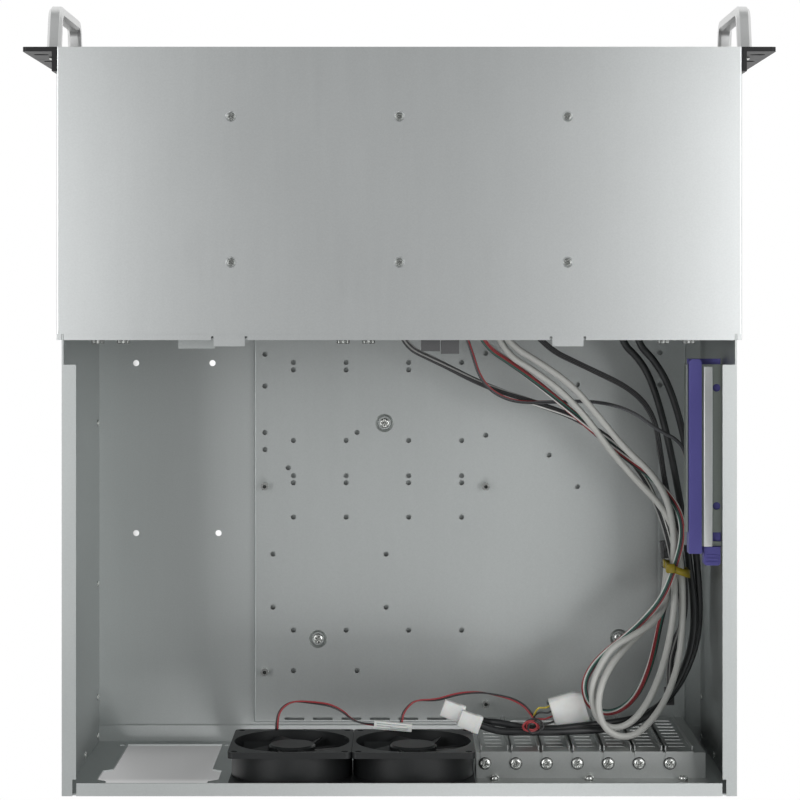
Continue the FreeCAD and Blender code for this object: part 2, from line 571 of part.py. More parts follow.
def make_slot_cover(x):
    """Vented cover of one slot: strip, side folds, tongue and screwed tab."""
    middle = x - SLOT_OFFSET
    half = SLOT_COVER_W / 2
    face = SLOT_Y - SLOT_COVER_T
    low = TRAY_TOP + SLOT_SILL - 2
    top = LEDGE_Z + SLOT_COVER_T
    strip = box(middle - half, middle + half, face, SLOT_Y, low, top)
    tongue = box(middle - half / 2, middle + half / 2, face, SLOT_Y, low - 4, low)
    tab = box(middle - half, middle + half, face, SLOT_SCREW_Y + 3.6, LEDGE_Z, top)
    folds = [box(middle + side * half, middle + side * (half - SLOT_COVER_T), face - SLOT_COVER_FOLD, face,
                 low + 4, LEDGE_Z - 4) for side in (1, -1)]
    cover = fuse([strip, tongue, tab] + folds)
    notch = hole(x, SLOT_SCREW_Y, LEDGE_Z - 1, SLOT_SCREW_R + SNUG, 4)
    mouth = box(x - SLOT_SCREW_R - SNUG, x + SLOT_SCREW_R + SNUG, SLOT_SCREW_Y, SLOT_SCREW_Y + 5,
                LEDGE_Z - 1, top + 1)
    pitch = (LEDGE_Z - low - 14) / VENT_COUNT
    vents = [box(middle - VENT_W / 2, middle + VENT_W / 2, face - 1, SLOT_Y + 1,
                 low + 8 + k * pitch, low + 8 + k * pitch + VENT_H) for k in range(VENT_COUNT)]
    return cover.cut([notch, mouth] + vents)


def pan_screw(x, y, z, axis, shank_r, head_r, head_h, length):
    """Screw whose head stands on a surface, with its shank behind it."""
    head = hole(x, y, z, head_r, head_h, axis)
    back = tuple(-a for a in axis)
    return head.fuse(hole(x, y, z, shank_r, length, back))


def make_slot_screws():
    """Screws of the slot covers, and the three that hold the bracket to the rear wall."""
    screws = [pan_screw(x, SLOT_SCREW_Y, LEDGE_Z + SLOT_COVER_T, (0, 0, 1), SLOT_SCREW_R, 3.2, 2.0, 4.5)
              for x in slot_screw_xs()]
    screws += [pan_screw(x, WALL_Y - SHEET, UPSTAND_SCREW_Z, (0, -1, 0), SLOT_SCREW_R, 3.2, 2.0, 2 * SHEET)
               for x in UPSTAND_SCREW_X]
    return Part.makeCompound(screws)


# ---------------------------------------------------------------- front cover
def cover_hole_points():
    """Dimples of the front cover."""
    rear = Y_FRONT + COVER_HOLE_Y
    return [(k * COVER_HOLE_PITCH_X, y) for k in (-1, 0, 1) for y in (rear, rear - COVER_HOLE_PITCH_Y)]


def thumb_points():
    """The three pairs of thumbscrews along the cover's lip."""
    return [x + side * THUMB_PAIR / 2 for x in THUMB_X for side in (1, -1)]


def make_front_cover():
    """Fixed cover: top, side skirts, lowered hem, lip and locating tabs."""
    half = COVER_W / 2
    hem = WALL_IN - SNUG
    step = BODY_HALF + SNUG
    top = box(-half, half, Y_FRONT, Y_HEM - HEM_W, SEAT_Z, HEIGHT)
    skirts = [box(side * FRONT_HALF, side * half, Y_FRONT, Y_HEM, SHEET, SEAT_Z) for side in (1, -1)]
    ends = [box(side * step, side * half, Y_HEM - HEM_W - SHEET, Y_HEM, SEAT_Z - SHEET, SEAT_Z)
            for side in (1, -1)]
    shell = fuse([top] + skirts + ends)
    edges = [e for e in shell.Edges if abs(e.CenterOfMass.z - HEIGHT) < 0.01 and e.Length > HEM_W * 20
             and abs(e.tangentAt(e.FirstParameter).y) > 0.9]
    shell = shell.makeFillet(SHEET * 0.9, edges)
    strip = box(-hem, hem, Y_HEM - HEM_W - SHEET, Y_HEM, SEAT_Z - SHEET, SEAT_Z)
    lip = box(-hem, hem, Y_HEM - SHEET, Y_HEM, SEAT_Z - LIP_H, SEAT_Z - SHEET)
    tabs = [box(x - TAB_W / 2, x + TAB_W / 2, Y_HEM, Y_HEM + TAB_L, SEAT_Z - SHEET, SEAT_Z) for x in TAB_X]
    bottom = COVER_SCREW_R + SNUG
    rims = [revolve([(DIMPLE_R, 0), (bottom, -1.6), (bottom, -2.5), (DIMPLE_R, -SHEET)], (x, y, HEIGHT))
            for x, y in cover_hole_points()]
    shell = shell.cut([rod(x, y, SEAT_Z - 1, DIMPLE_R, 4) for x, y in cover_hole_points()])
    cover = fuse([shell, strip, lip] + tabs + rims)
    cuts = [hole(x, Y_HEM - 3, THUMB_Z, THUMB_SHANK + SNUG, 6, (0, 1, 0)) for x in thumb_points()]
    cuts += [box(x + side * TAB_W / 2, x + side * (TAB_W / 2 + 1.6), Y_HEM - 2.4, Y_HEM + 1, SEAT_Z - 3, HEIGHT)
             for x in TAB_X for side in (1, -1)]
    cuts += [hole(side * (FRONT_HALF - 1), EAR_SCREW_Y, z, EAR_SCREW_R, 4, (side, 0, 0))
             for side, z in ear_screw_points()]
    return cover.cut(cuts)


def make_cover_screws():
    """Countersunk screws that sit in the cover's dimples."""
    head = [(0, -0.2), (3.2, -0.2), (1.6, -1.6), (1.6, -7), (0, -7)]
    screws = []
    for x, y in cover_hole_points():
        screw = revolve(head, (x, y, HEIGHT))
        cross = [box(x - 1.5, x + 1.5, y - 0.35, y + 0.35, HEIGHT - 1.2, HEIGHT),
                 box(x - 0.35, x + 0.35, y - 1.5, y + 1.5, HEIGHT - 1.2, HEIGHT)]
        screws.append(screw.cut(cross))
    return Part.makeCompound(screws)


def make_thumbscrews():
    """Knurled screws that hold the cover's lip to the cage and to the side post."""
    screws = []
    for x in thumb_points():
        head = hole(x, Y_HEM, THUMB_Z, THUMB_R, THUMB_HEAD, (0, 1, 0))
        shank = hole(x, Y_HEM, THUMB_Z, THUMB_SHANK, THUMB_LENGTH, (0, -1, 0))
        slot = box(x - THUMB_R, x + THUMB_R, Y_HEM + THUMB_HEAD - 1, Y_HEM + THUMB_HEAD + 1,
                   THUMB_Z - 0.5, THUMB_Z + 0.5)
        screws.append(head.fuse(shank).cut(slot))
    return Part.makeCompound(screws)


# ---------------------------------------------------------------- front panel and bays
def bay_span():
    """Corners of the opening for the drive bays: x0, x1, z0, z1."""
    return BAY_X - BAY_W / 2, BAY_X + BAY_W / 2, BAY_Z, BAY_TOP


def led_xs():
    """The three indicator lights."""
    return [BUTTON_X + k * LED_PITCH for k in (-1, 0, 1)]


def make_front_panel():
    """Front sheet with its return flanges, bay opening, fan vent and control holes."""
    x0, x1, z0, z1 = bay_span()
    inner = FRONT_HALF - SHEET - SNUG
    back = FACE_Y + PANEL_RETURN
    sheet = box(-FRONT_HALF, FRONT_HALF, Y_FRONT, FACE_Y, 0, SEAT_Z)
    foot = box(-inner, inner, FACE_Y, back, SHEET, 2 * SHEET)
    sides = [box(side * inner, side * (inner - SHEET), FACE_Y, back, SHEET, SEAT_Z - SHEET) for side in (1, -1)]
    panel = fuse([sheet, foot] + sides)
    front = Y_FRONT - 1
    cuts = [box(x0, x1, front, FACE_Y + 1, z0, z1)]
    cuts += grille(FRONT_FAN_X, FRONT_FAN_Z, FRONT_FAN / 2 - FRONT_GRILLE_RIM, FRONT_GRILLE_BAR, front, FACE_Y + 1)
    cuts += [hole(i, front, k, FAN_SCREW_R, 4, (0, 1, 0))
             for i, k in corner_points(FRONT_FAN_X, FRONT_FAN_Z, FRONT_FAN_HOLE)]
    cuts.append(rod(BUTTON_X, front, POWER_Z, POWER_R + RUN, 4, (0, 1, 0)))
    cuts.append(rod(BUTTON_X, front, RESET_Z, RESET_R + RUN, 4, (0, 1, 0)))
    cuts += [rod(x, front, LED_Z, LED_R + SNUG, 4, (0, 1, 0)) for x in led_xs()]
    cuts += [box(BUTTON_X - USB_W / 2 - SNUG, BUTTON_X + USB_W / 2 + SNUG, front, FACE_Y + 1,
                 z - USB_H / 2 - SNUG, z + USB_H / 2 + SNUG) for z in USB_Z]
    cuts += [hole(side * (inner - 3), EAR_SCREW_Y, z, EAR_SCREW_R, 5, (side, 0, 0))
             for side, z in ear_screw_points()]
    return panel.cut(cuts)


def make_bay_cover(index):
    """Blank cover of one drive bay: a plate with a rim behind it."""
    z0 = BAY_Z + index * BAY_PITCH
    x0 = BAY_X - BAY_W / 2 + RUN
    x1 = BAY_X + BAY_W / 2 - RUN
    front = Y_FRONT - BAY_COVER_PROUD
    shell = box(x0, x1, front, front + BAY_COVER_D, z0 + RUN, z0 + BAY_H - RUN)
    edges = [e for e in shell.Edges if abs(e.CenterOfMass.y - front) < 0.01]
    shell = shell.makeChamfer(0.8, edges)
    hollow = box(x0 + 2, x1 - 2, front + 2.2, front + BAY_COVER_D + 1, z0 + RUN + 2, z0 + BAY_H - RUN - 2)
    grooves = [box(x0 - 1, x1 + 1, front - 1, front + 0.5, z0 + BAY_H * k - 0.5, z0 + BAY_H * k + 0.5)
               for k in (0.3, 0.7)]
    return shell.cut([hollow] + grooves)


def make_drive_cage():
    """Open cage behind the bays: two slotted sides on feet, shelf, roof, rear strap and screw flanges."""
    x0, x1, z0, z1 = bay_span()
    back = Y_HEM - SHEET
    floor = z0 - SHEET - RUN
    roof = z1 + RUN
    left = x1 + RUN
    right = x0 - RUN
    sides = [box(left, left + SHEET, FACE_Y, back, SHEET, roof + SHEET),
             box(right - SHEET, right, FACE_Y, back, SHEET, roof + SHEET)]
    feet = [box(left, left + CAGE_FOOT, FACE_Y + PANEL_RETURN + SNUG, back, SHEET, 2 * SHEET),
            box(right - CAGE_FOOT, right, FACE_Y + PANEL_RETURN + SNUG, back, SHEET, 2 * SHEET)]
    shelf = box(right, left, FACE_Y, back, floor, floor + SHEET)
    top = box(right - SHEET, left + SHEET, FACE_Y, back, roof, roof + SHEET)
    strap_z = z1 - STRAP_DROP - STRAP_H
    strap = box(right, left, back - SHEET, back, strap_z, strap_z + STRAP_H)
    catch_x = BAY_X + CATCH_OUT
    catch = box(catch_x - CATCH_W / 2, catch_x + CATCH_W / 2, back - SHEET, Y_HEM + CATCH_L, strap_z, strap_z + SHEET)
    flanges = [box(x - THUMB_FLANGE, x + THUMB_FLANGE, back - SHEET, back, SEAT_Z - LIP_H, roof + SHEET)
               for x in THUMB_X[:2]]
    cage = fuse(sides + feet + [shelf, top, strap, catch] + flanges)
    cuts = []
    for bay in range(BAY_COUNT):
        z = z0 + bay * BAY_PITCH + BAY_H / 3
        for along in CAGE_SLOT_Y:
            y = FACE_Y + along - CAGE_SLOT_L / 2
            cuts.append(box(right - 2, left + 2, y, y + CAGE_SLOT_L, z - CAGE_SLOT_W / 2, z + CAGE_SLOT_W / 2))
    across, rim = CAGE_WINDOW_IN
    cuts.append(box(right + across, left - across, FACE_Y + rim, back - rim, floor - 1, floor + 3))
    cuts.append(box(right - 2, left + 2, FACE_Y - 1, FACE_Y + PANEL_RETURN + SNUG, 0, 2 * SHEET + SNUG))
    cuts += [hole(x + side * THUMB_PAIR / 2, back - 3, THUMB_Z, THUMB_SHANK + SNUG, 6, (0, 1, 0))
             for x in THUMB_X[:2] for side in (1, -1)]
    cuts += [hole(x, y, roof - 1, COVER_SCREW_R + SNUG, 4) for x, y in cover_hole_points() if x > 0]
    return cage.cut(cuts)


def make_side_post():
    """Post on the floor that carries the third pair of thumbscrews."""
    x = THUMB_X[2]
    back = Y_HEM - SHEET
    face = box(x - THUMB_FLANGE, x + THUMB_FLANGE, back - SHEET, back, SHEET, SEAT_Z - 2 * SHEET)
    web = box(x - SHEET / 2, x + SHEET / 2, back - POST_D, back, SHEET, SEAT_Z - 2 * SHEET)
    foot = box(x - THUMB_FLANGE, x + THUMB_FLANGE, back - POST_D, back, SHEET, 2 * SHEET)
    post = fuse([face, web, foot])
    holes = [hole(x + side * THUMB_PAIR / 2, back - 3, THUMB_Z, THUMB_SHANK + SNUG, 6, (0, 1, 0))
             for side in (1, -1)]
    return post.cut(holes)


# ---------------------------------------------------------------- fans
def blade(cx, cy, cz, hub_r, tip_r, depth, turn):
    """One cambered fan blade between the hub and the circle of its tips."""
    half = tip_r * BLADE_CHORD / 2
    rise = depth / 2
    bow = half * BLADE_CAMBER
    flat = math.sqrt((tip_r - BLADE_T) ** 2 - (half + BLADE_T) ** 2)
    inner = Part.Arc(Vec(0, -rise, -half), Vec(0, -bow, bow), Vec(0, rise - BLADE_T, half))
    outer = Part.Arc(Vec(0, rise, half), Vec(0, BLADE_T - bow, bow), Vec(0, BLADE_T - rise, -half))
    edges = [inner.toShape(), Part.makeLine(Vec(0, rise - BLADE_T, half), Vec(0, rise, half)), outer.toShape(),
             Part.makeLine(Vec(0, BLADE_T - rise, -half), Vec(0, -rise, -half))]
    solid = Part.Face(Part.Wire(edges)).extrude(Vec(flat - hub_r + BLADE_ROOT, 0, 0))
    solid.translate(Vec(cx + hub_r - BLADE_ROOT, cy, cz))
    solid.rotate(Vec(cx, cy, cz), Vec(0, 1, 0), turn)
    return solid


def make_fan_frame(cx, cz, y0, size, depth, pitch, strut_side):
    """Square fan frame: two flanges, a round barrel between, and a motor base on four struts."""
    bore = size / 2 - FAN_WALL
    flange = rounded_plate(cx, cz, size, size, FAN_CORNER, y0, y0 + FAN_FLANGE)
    other = rounded_plate(cx, cz, size, size, FAN_CORNER, y0 + depth - FAN_FLANGE, y0 + depth)
    barrel = rod(cx, y0, cz, size / 2 - SNUG, depth, (0, 1, 0))
    tube = fuse([flange, other, barrel]).cut(rod(cx, y0 - 1, cz, bore, depth + 2, (0, 1, 0)))
    base_y = y0 + depth - MOTOR_T if strut_side > 0 else y0
    base = rod(cx, base_y, cz, MOTOR_R, MOTOR_T, (0, 1, 0))
    pin_y = base_y - PIN_L if strut_side > 0 else base_y + MOTOR_T
    pin = rod(cx, pin_y, cz, PIN_R, PIN_L, (0, 1, 0))
    strut = box(cx - STRUT_W / 2, cx + STRUT_W / 2, base_y, base_y + MOTOR_T, cz - bore - 1, cz + bore + 1)
    strut.rotate(Vec(cx, base_y, cz), Vec(0, 1, 0), 45)
    cross = strut.copy()
    cross.rotate(Vec(cx, base_y, cz), Vec(0, 1, 0), 90)
    frame = fuse([tube, base, pin, strut, cross])
    holes = [hole(i, y0 - 1, k, FAN_SCREW_R + SNUG, depth + 2, (0, 1, 0)) for i, k in corner_points(cx, cz, pitch)]
    return frame.cut(holes)


def make_impeller(cx, cz, y0, size, depth, strut_side):
    """Hub with seven blades, open at the back where it turns on the motor's pin."""
    base = MOTOR_T + RUN
    start = y0 + FAN_LIP if strut_side > 0 else y0 + base
    end = y0 + depth - base if strut_side > 0 else y0 + depth - FAN_LIP
    hub = rod(cx, start, cz, HUB_R, end - start, (0, 1, 0))
    rim = [e for e in hub.Edges if abs(e.CenterOfMass.y - (start if strut_side > 0 else end)) < 0.01]
    hub = hub.makeChamfer(HUB_EDGE, [e for e in rim if e.Closed and len(e.Vertexes) == 1 and e.Length > HUB_R])
    middle = (start + end) / 2
    tip = size / 2 - FAN_WALL - BLADE_GAP
    blades = [blade(cx, middle, cz, HUB_R, tip, end - start - 2, k * 360.0 / BLADES) for k in range(BLADES)]
    pin_y = end - PIN_L if strut_side > 0 else start - 1
    bore = rod(cx, pin_y, cz, PIN_R + 0.05, PIN_L + 1, (0, 1, 0))
    return fuse([hub] + blades).cut(bore)


# ---------------------------------------------------------------- rack ears and handles
def make_rack_ear(side):
    """L-shaped ear: slotted front flange and a leg along the cover's side."""
    inner = COVER_W / 2
    outer = RACK_W / 2
    plan = [(inner, Y_FRONT), (outer, Y_FRONT), (outer, Y_FRONT + EAR_T), (inner + EAR_T, Y_FRONT + EAR_T),
            (inner + EAR_T, Y_FRONT + EAR_LEG), (inner, Y_FRONT + EAR_LEG)]
    ear = prism([(side * x, y, 0) for x, y in plan], (0, 0, HEIGHT))
    corners = [e for e in ear.Edges if abs(abs(e.CenterOfMass.x) - outer) < 0.01
               and abs(e.tangentAt(e.FirstParameter).y) > 0.9]
    ear = ear.makeFillet(EAR_CORNER, corners)
    cuts = []
    straight = (RACK_SLOT_L - RACK_SLOT_W) / 2
    for unit in range(RACK_UNITS):
        z = RACK_UNIT * (unit + 0.5)
        x = side * RACK_HOLE_X
        cuts.append(box(x - straight, x + straight, Y_FRONT - 1, Y_FRONT + EAR_T + 1,
                        z - RACK_SLOT_W / 2, z + RACK_SLOT_W / 2))
        cuts += [rod(x + end * straight, Y_FRONT - 1, z, RACK_SLOT_W / 2, EAR_T + 2, (0, 1, 0)) for end in (1, -1)]
    cuts += [hole(side * HANDLE_X, Y_FRONT - 1, z, HANDLE_SCREW_R, EAR_T + 2, (0, 1, 0)) for z in handle_feet()]
    cuts += [hole(side * (inner - 1), EAR_SCREW_Y, z, EAR_SCREW_R, EAR_T + 2, (side, 0, 0))
             for s, z in ear_screw_points() if s == side]
    return ear.cut(cuts)


def handle_feet():
    """Heights of the handle's two feet."""
    return [HEIGHT / 2 + k * HANDLE_FEET / 2 for k in (1, -1)]


def offset_corner(before, corner, after, distance):
    """Mitred corner of a line through three points, moved sideways."""
    ux, uz = corner[0] - before[0], corner[1] - before[1]
    vx, vz = after[0] - corner[0], after[1] - corner[1]
    lu, lv = math.hypot(ux, uz), math.hypot(vx, vz)
    nx, nz = uz / lu + vz / lv, -ux / lu - vx / lv
    scale = 2.0 * distance / (nx * nx + nz * nz)
    return corner[0] + nx * scale, corner[1] + nz * scale


def make_handle(side):
    """Bow handle bent from bar: two splayed feet and a straight grip."""
    middle = HEIGHT / 2
    grip_y = Y_FRONT - HANDLE_REACH + HANDLE_T / 2
    foot = HANDLE_FEET / 2
    grip = HANDLE_GRIP / 2
    line = [(Y_FRONT + 6, middle + foot + 2), (grip_y, middle + grip + HANDLE_BEND / 2),
            (grip_y, middle - grip - HANDLE_BEND / 2), (Y_FRONT + 6, middle - foot - 2)]
    sides = []
    for distance in (HANDLE_T / 2, -HANDLE_T / 2):
        outer = [line[0]] + [offset_corner(line[k - 1], line[k], line[k + 1], distance) for k in (1, 2)] + [line[3]]
        ends = offset_ends(line, distance)
        sides.append([ends[0], outer[1], outer[2], ends[1]])
    outline = sides[0] + sides[1][::-1]
    bar = prism([(side * HANDLE_X - HANDLE_W / 2, y, z) for y, z in outline], (HANDLE_W, 0, 0))
    bends = [e for e in bar.Edges if abs(e.tangentAt(e.FirstParameter).x) > 0.9 and e.CenterOfMass.y < Y_FRONT - 10]
    far = [e for e in bends if abs(e.CenterOfMass.y - (Y_FRONT - HANDLE_REACH)) < 0.5]
    near = [e for e in bends if abs(e.CenterOfMass.y - (Y_FRONT - HANDLE_REACH)) >= 0.5]
    bar = bar.makeFillet(HANDLE_BEND, far)
    near = [e for e in bar.Edges if abs(e.tangentAt(e.FirstParameter).x) > 0.9 and e.Length > HANDLE_W - 0.1
            and any((e.CenterOfMass - n.CenterOfMass).Length < 0.1 for n in near)]
    bar = bar.makeFillet(HANDLE_BEND - HANDLE_T, near)
    beside = side * HANDLE_X
    bar = bar.cut(box(beside - HANDLE_W, beside + HANDLE_W, Y_FRONT, Y_FRONT + HANDLE_REACH, 0, HEIGHT))
    rims = [e for e in bar.Edges if abs(abs(e.CenterOfMass.x - side * HANDLE_X) - HANDLE_W / 2) < 0.01
            and e.CenterOfMass.y < Y_FRONT - 0.1]
    bar = bar.makeChamfer(HANDLE_ROUND, rims)
    holes = [hole(side * HANDLE_X, Y_FRONT + 1, z, HANDLE_SCREW_R, HANDLE_TAP, (0, -1, 0)) for z in handle_feet()]
    return bar.cut(holes)


def offset_ends(line, distance):
    """Both ends of an offset line."""
    ends = []
    for a, b, at in ((line[0], line[1], line[0]), (line[2], line[3], line[3])):
        ux, uz = b[0] - a[0], b[1] - a[1]
        length = math.hypot(ux, uz)
        ends.append((at[0] + uz / length * distance, at[1] - ux / length * distance))
    return ends


# ---------------------------------------------------------------- board tray
def tray_holes():
    """Holes of the tray, as offsets from the corner standoff: (columns, rows)."""
    return [((20.3, 57.9, 102.5, 140.3), (TRAY_ROW_F, 187.5, 162.3, 157.3, 132.8, 52.1)),
            ((20.3, 57.9, 102.5), (TRAY_ROW_F - 5.3, TRAY_ROW_F)),
            ((0.0,), (249.0, 226.4, 193.2, 181.0)),
            ((5.7, 86.4), (106.4, 68.5)),
            ((20.3, 65.7), (23.2,)),
            ((157.5,), (249.6, 191.2)),
            ((281.9,), (250.2, 227.3, 177.5, 154.9)),
            ((202.7,), (177.0, 0.7)),
            ((223.0,), (227.3, 154.6)),
            ((16.6,), (168.0,)),
            ((65.7,), (193.2,))]


def standoff_points():
    """Standoffs of the board: column and row offsets of the pattern."""
    return [(0, 154.94), (0, 22.86), (157.48, 154.94), (157.48, 0)]


def tray_point(column, row):
    """Place on the tray of an offset from the corner standoff."""
    return DATUM_X - column, DATUM_Y - row


def make_tray():
    """Raised board tray: perforated plate with folded edges, a bead and three screw dimples."""
    x0, x1 = TRAY_X
    y0, y1 = TRAY_Y
    block = box(x0, x1, y0, y1, SHEET, TRAY_TOP)
    edges = [e for e in block.Edges if abs(e.CenterOfMass.z - TRAY_TOP) < 0.01]
    block = block.makeFillet(TRAY_BEND, edges)
    plate = block.cut(box(x0 + SHEET, x1 - SHEET, y0 + SHEET, y1 - SHEET, 0, TRAY_TOP - SHEET))
    screws = [tray_point(column, row) for column, row in TRAY_SCREWS]
    plate = plate.cut([rod(x, y, TRAY_TOP - 3, DIMPLE_SCREW_R, 6) for x, y in screws])
    deep = TRAY_TOP - 2 * SHEET
    cup = [(DIMPLE_SCREW_R, 0), (4.6, SHEET - deep), (TRAY_SCREW_R + SNUG, SHEET - deep),
           (TRAY_SCREW_R + SNUG, -deep), (5.2, -deep), (DIMPLE_SCREW_R, -SHEET)]
    dimples = [revolve(cup, (x, y, TRAY_TOP)) for x, y in screws]
    tray = fuse([plate] + dimples)
    cuts = []
    for columns, rows in tray_holes():
        for column in columns:
            for row in rows:
                x, y = tray_point(column, row)
                cuts.append(hole(x, y, TRAY_TOP - 3, HOLE_R, 5))
    for column, row in standoff_points():
        x, y = tray_point(column, row)
        cuts.append(hole(x, y, TRAY_TOP - 3, STANDOFF_STEM + SNUG / 2, 5))
    slit_y = DATUM_Y + SLIT_BACK
    for k in range(SLIT_COUNT):
        x = DATUM_X - SLIT_START - k * SLOT_PITCH
        cuts.append(box(x - SLIT_L / 2, x + SLIT_L / 2, slit_y - SLIT_W / 2, slit_y + SLIT_W / 2, TRAY_TOP - 3,
                        TRAY_TOP + 1))
    bead = x0 + BEAD_IN
    cuts.append(box(bead - BEAD_W / 2, bead + BEAD_W / 2, y0 + 6, y1 - 10, TRAY_TOP - BEAD_H, TRAY_TOP + 1))
    return tray.cut(cuts)


def make_tray_screws():
    """Pan-head screws in the tray's dimples, with cross recesses."""
    low = 3 * SHEET
    screws = []
    for column, row in TRAY_SCREWS:
        x, y = tray_point(column, row)
        screw = pan_screw(x, y, low, (0, 0, 1), TRAY_SCREW_R, 3.75, 2.4, 2.0)
        cross = [box(x - 2, x + 2, y - 0.45, y + 0.45, low + 1, low + 3),
                 box(x - 0.45, x + 0.45, y - 2, y + 2, low + 1, low + 3)]
        screws.append(screw.cut(cross))
    return Part.makeCompound(screws)


def make_standoffs():
    """Hexagonal threaded standoffs pressed into the tray."""
    posts = []
    for column, row in standoff_points():
        x, y = tray_point(column, row)
        radius = STANDOFF_AF / math.sqrt(3)
        corners = [(x + radius * math.cos(math.radians(60 * k)), y + radius * math.sin(math.radians(60 * k)),
                    TRAY_TOP) for k in range(6)]
        post = prism(corners, (0, 0, STANDOFF_H))
        stem = rod(x, y, TRAY_TOP - SHEET, STANDOFF_STEM, SHEET)
        posts.append(post.fuse(stem).cut(rod(x, y, TRAY_TOP - 2, STANDOFF_BORE, STANDOFF_H + 3)))
    return Part.makeCompound(posts)


# ---------------------------------------------------------------- controls
def make_front_board():
    """Board behind the front panel: posts, switch bodies, USB shells and the cable header."""
    back = BOARD_Y + BOARD_T
    x0, x1 = BOARD_X
    pieces = [box(x0, x1, BOARD_Y, back, BOARD_Z[0], BOARD_Z[1])]
    pieces += [hole(x, FACE_Y, z, 2.5, BOARD_Y - FACE_Y, (0, 1, 0)) for x in (x0 + 4, x1 - 4)
               for z in (BOARD_Z[0] + 4, BOARD_Z[1] - 4)]
    pieces += [box(BUTTON_X - r, BUTTON_X + r, BOARD_Y - 1.5, BOARD_Y, z - r, z + r)
               for r, z in ((POWER_R - 1, POWER_Z), (RESET_R, RESET_Z))]
    for z in USB_Z:
        shell = box(BUTTON_X - USB_W / 2, BUTTON_X + USB_W / 2, Y_FRONT - 0.5, BOARD_Y, z - USB_H / 2, z + USB_H / 2)
        mouth = box(BUTTON_X - USB_W / 2 + 0.6, BUTTON_X + USB_W / 2 - 0.6, Y_FRONT - 2, BOARD_Y - 1.5,
                    z - USB_H / 2 + 0.6, z + USB_H / 2 - 0.6)
        tongue = box(BUTTON_X - USB_W / 2 + 1, BUTTON_X + USB_W / 2 - 1, Y_FRONT + 1, BOARD_Y, z + 0.2, z + 1.8)
        pieces.append(shell.cut(mouth).fuse(tongue))
    pieces.append(box(x0 + HEADER_IN, x1 - HEADER_IN, back, back + HEADER_D, HEADER_Z[0], HEADER_Z[1]))
    return fuse(pieces)


def make_leds():
    """Three indicator lights between the board and the panel."""
    lights = []
    for x in led_xs():
        lights.append(rod(x, Y_FRONT - LED_PROUD, LED_Z, LED_R, BOARD_Y - Y_FRONT + LED_PROUD, (0, 1, 0)))
    return Part.makeCompound(lights)


def make_button(z, radius):
    """Push button: cap through the panel and a collar that stops it behind the sheet."""
    cap = rod(BUTTON_X, Y_FRONT - BUTTON_PROUD, z, radius, BUTTON_PROUD + SHEET + 1.6, (0, 1, 0))
    rim = [e for e in cap.Edges if abs(e.CenterOfMass.y - Y_FRONT + BUTTON_PROUD) < 0.01]
    cap = cap.makeChamfer(0.5, [e for e in rim if e.Closed and len(e.Vertexes) == 1 and e.Length > radius])
    collar = rod(BUTTON_X, FACE_Y + SNUG, z, radius + 1.2, 1.4, (0, 1, 0))
    return cap.fuse(collar)


# ---------------------------------------------------------------- spare drive rail
def make_rail_holder():
    """Folded holder on the side wall, open at the rear, with a window and a hole in its roof."""
    y0, y1 = HOLDER_Y
    wall = -WALL_IN
    low = RAIL_Z - RUN - SHEET
    roof = RAIL_Z + RAIL_T + RUN
    step = HOLDER_STEP_X - HOLDER_STEP_W
    pieces = [box(wall, wall + SHEET, y0, y1, low, roof + HOLDER_WALL_H),
              box(wall, HOLDER_LIP_X, y0, y1, low, low + SHEET),
              box(HOLDER_LIP_X - SHEET, HOLDER_LIP_X, y0, y0 + HOLDER_LIP_L, low, RAIL_Z + RAIL_RIB_H - 3),
              box(wall, step + SHEET, y0, y1, roof, roof + SHEET),
              box(step, step + SHEET, y0, y1, roof, roof + HOLDER_STEP_H),
              box(step, HOLDER_STEP_X, y0, y1, roof + HOLDER_STEP_H - SHEET, roof + HOLDER_STEP_H)]
    holder = fuse(pieces)
    middle = (wall + step) / 2
    cuts = [rod(middle, y0 + along, roof - 1, HOLDER_HOLE_R, 4) for along in HOLDER_HOLES]
    cuts.append(box(middle - 3.1, middle + 3.1, y1 - 9, y1 - 3, roof - 1, roof + 4))
    return holder.cut(cuts)


def make_drive_rail():
    """Plastic rail for a drive: flat base, raised inner strip with bosses, ribbed grip tab."""
    y0 = HOLDER_Y[0] - RAIL_FRONT
    shoulder = HOLDER_Y[1] + RAIL_SHOULDER
    end = HOLDER_Y[1] + RAIL_END
    outer = -WALL_IN + SHEET + RUN
    inner = HOLDER_LIP_X - SHEET - RUN
    strip = HOLDER_STEP_X + RUN
    g0, g1 = GRIP_IN[0] - WALL_IN, GRIP_IN[1] - WALL_IN
    base = box(outer, inner, y0, shoulder, RAIL_Z, RAIL_Z + RAIL_T)
    rib = box(strip, inner, y0, shoulder, RAIL_Z, RAIL_Z + RAIL_RIB_H)
    ends = [e for e in rib.Edges if abs(e.CenterOfMass.y - y0) < 0.01 and abs(e.tangentAt(e.FirstParameter).z) > 0.9]
    rib = rib.makeFillet(3.0, ends)
    grip = box(g0, g1, HOLDER_Y[1] + RUN, end, RAIL_Z, RAIL_Z + GRIP_T)
    tips = [e for e in grip.Edges if abs(e.CenterOfMass.y - end) < 0.01
            and abs(e.tangentAt(e.FirstParameter).z) > 0.9]
    grip = grip.makeFillet(2.0, tips)
    ribs = [box(g0 + 1.5, g1 - 1.5, end - (2 * k + 2) * GRIP_RIB, end - (2 * k + 1) * GRIP_RIB,
                RAIL_Z + GRIP_T, RAIL_Z + GRIP_T + 0.8) for k in range(3)]
    bosses = [hole(strip, HOLDER_Y[0] + along, RAIL_Z + RAIL_RIB_H - 3.6, 1.4, 0.3, (-1, 0, 0)) for along in RAIL_BOSSES]
    return fuse([base, rib, grip] + ribs + bosses)


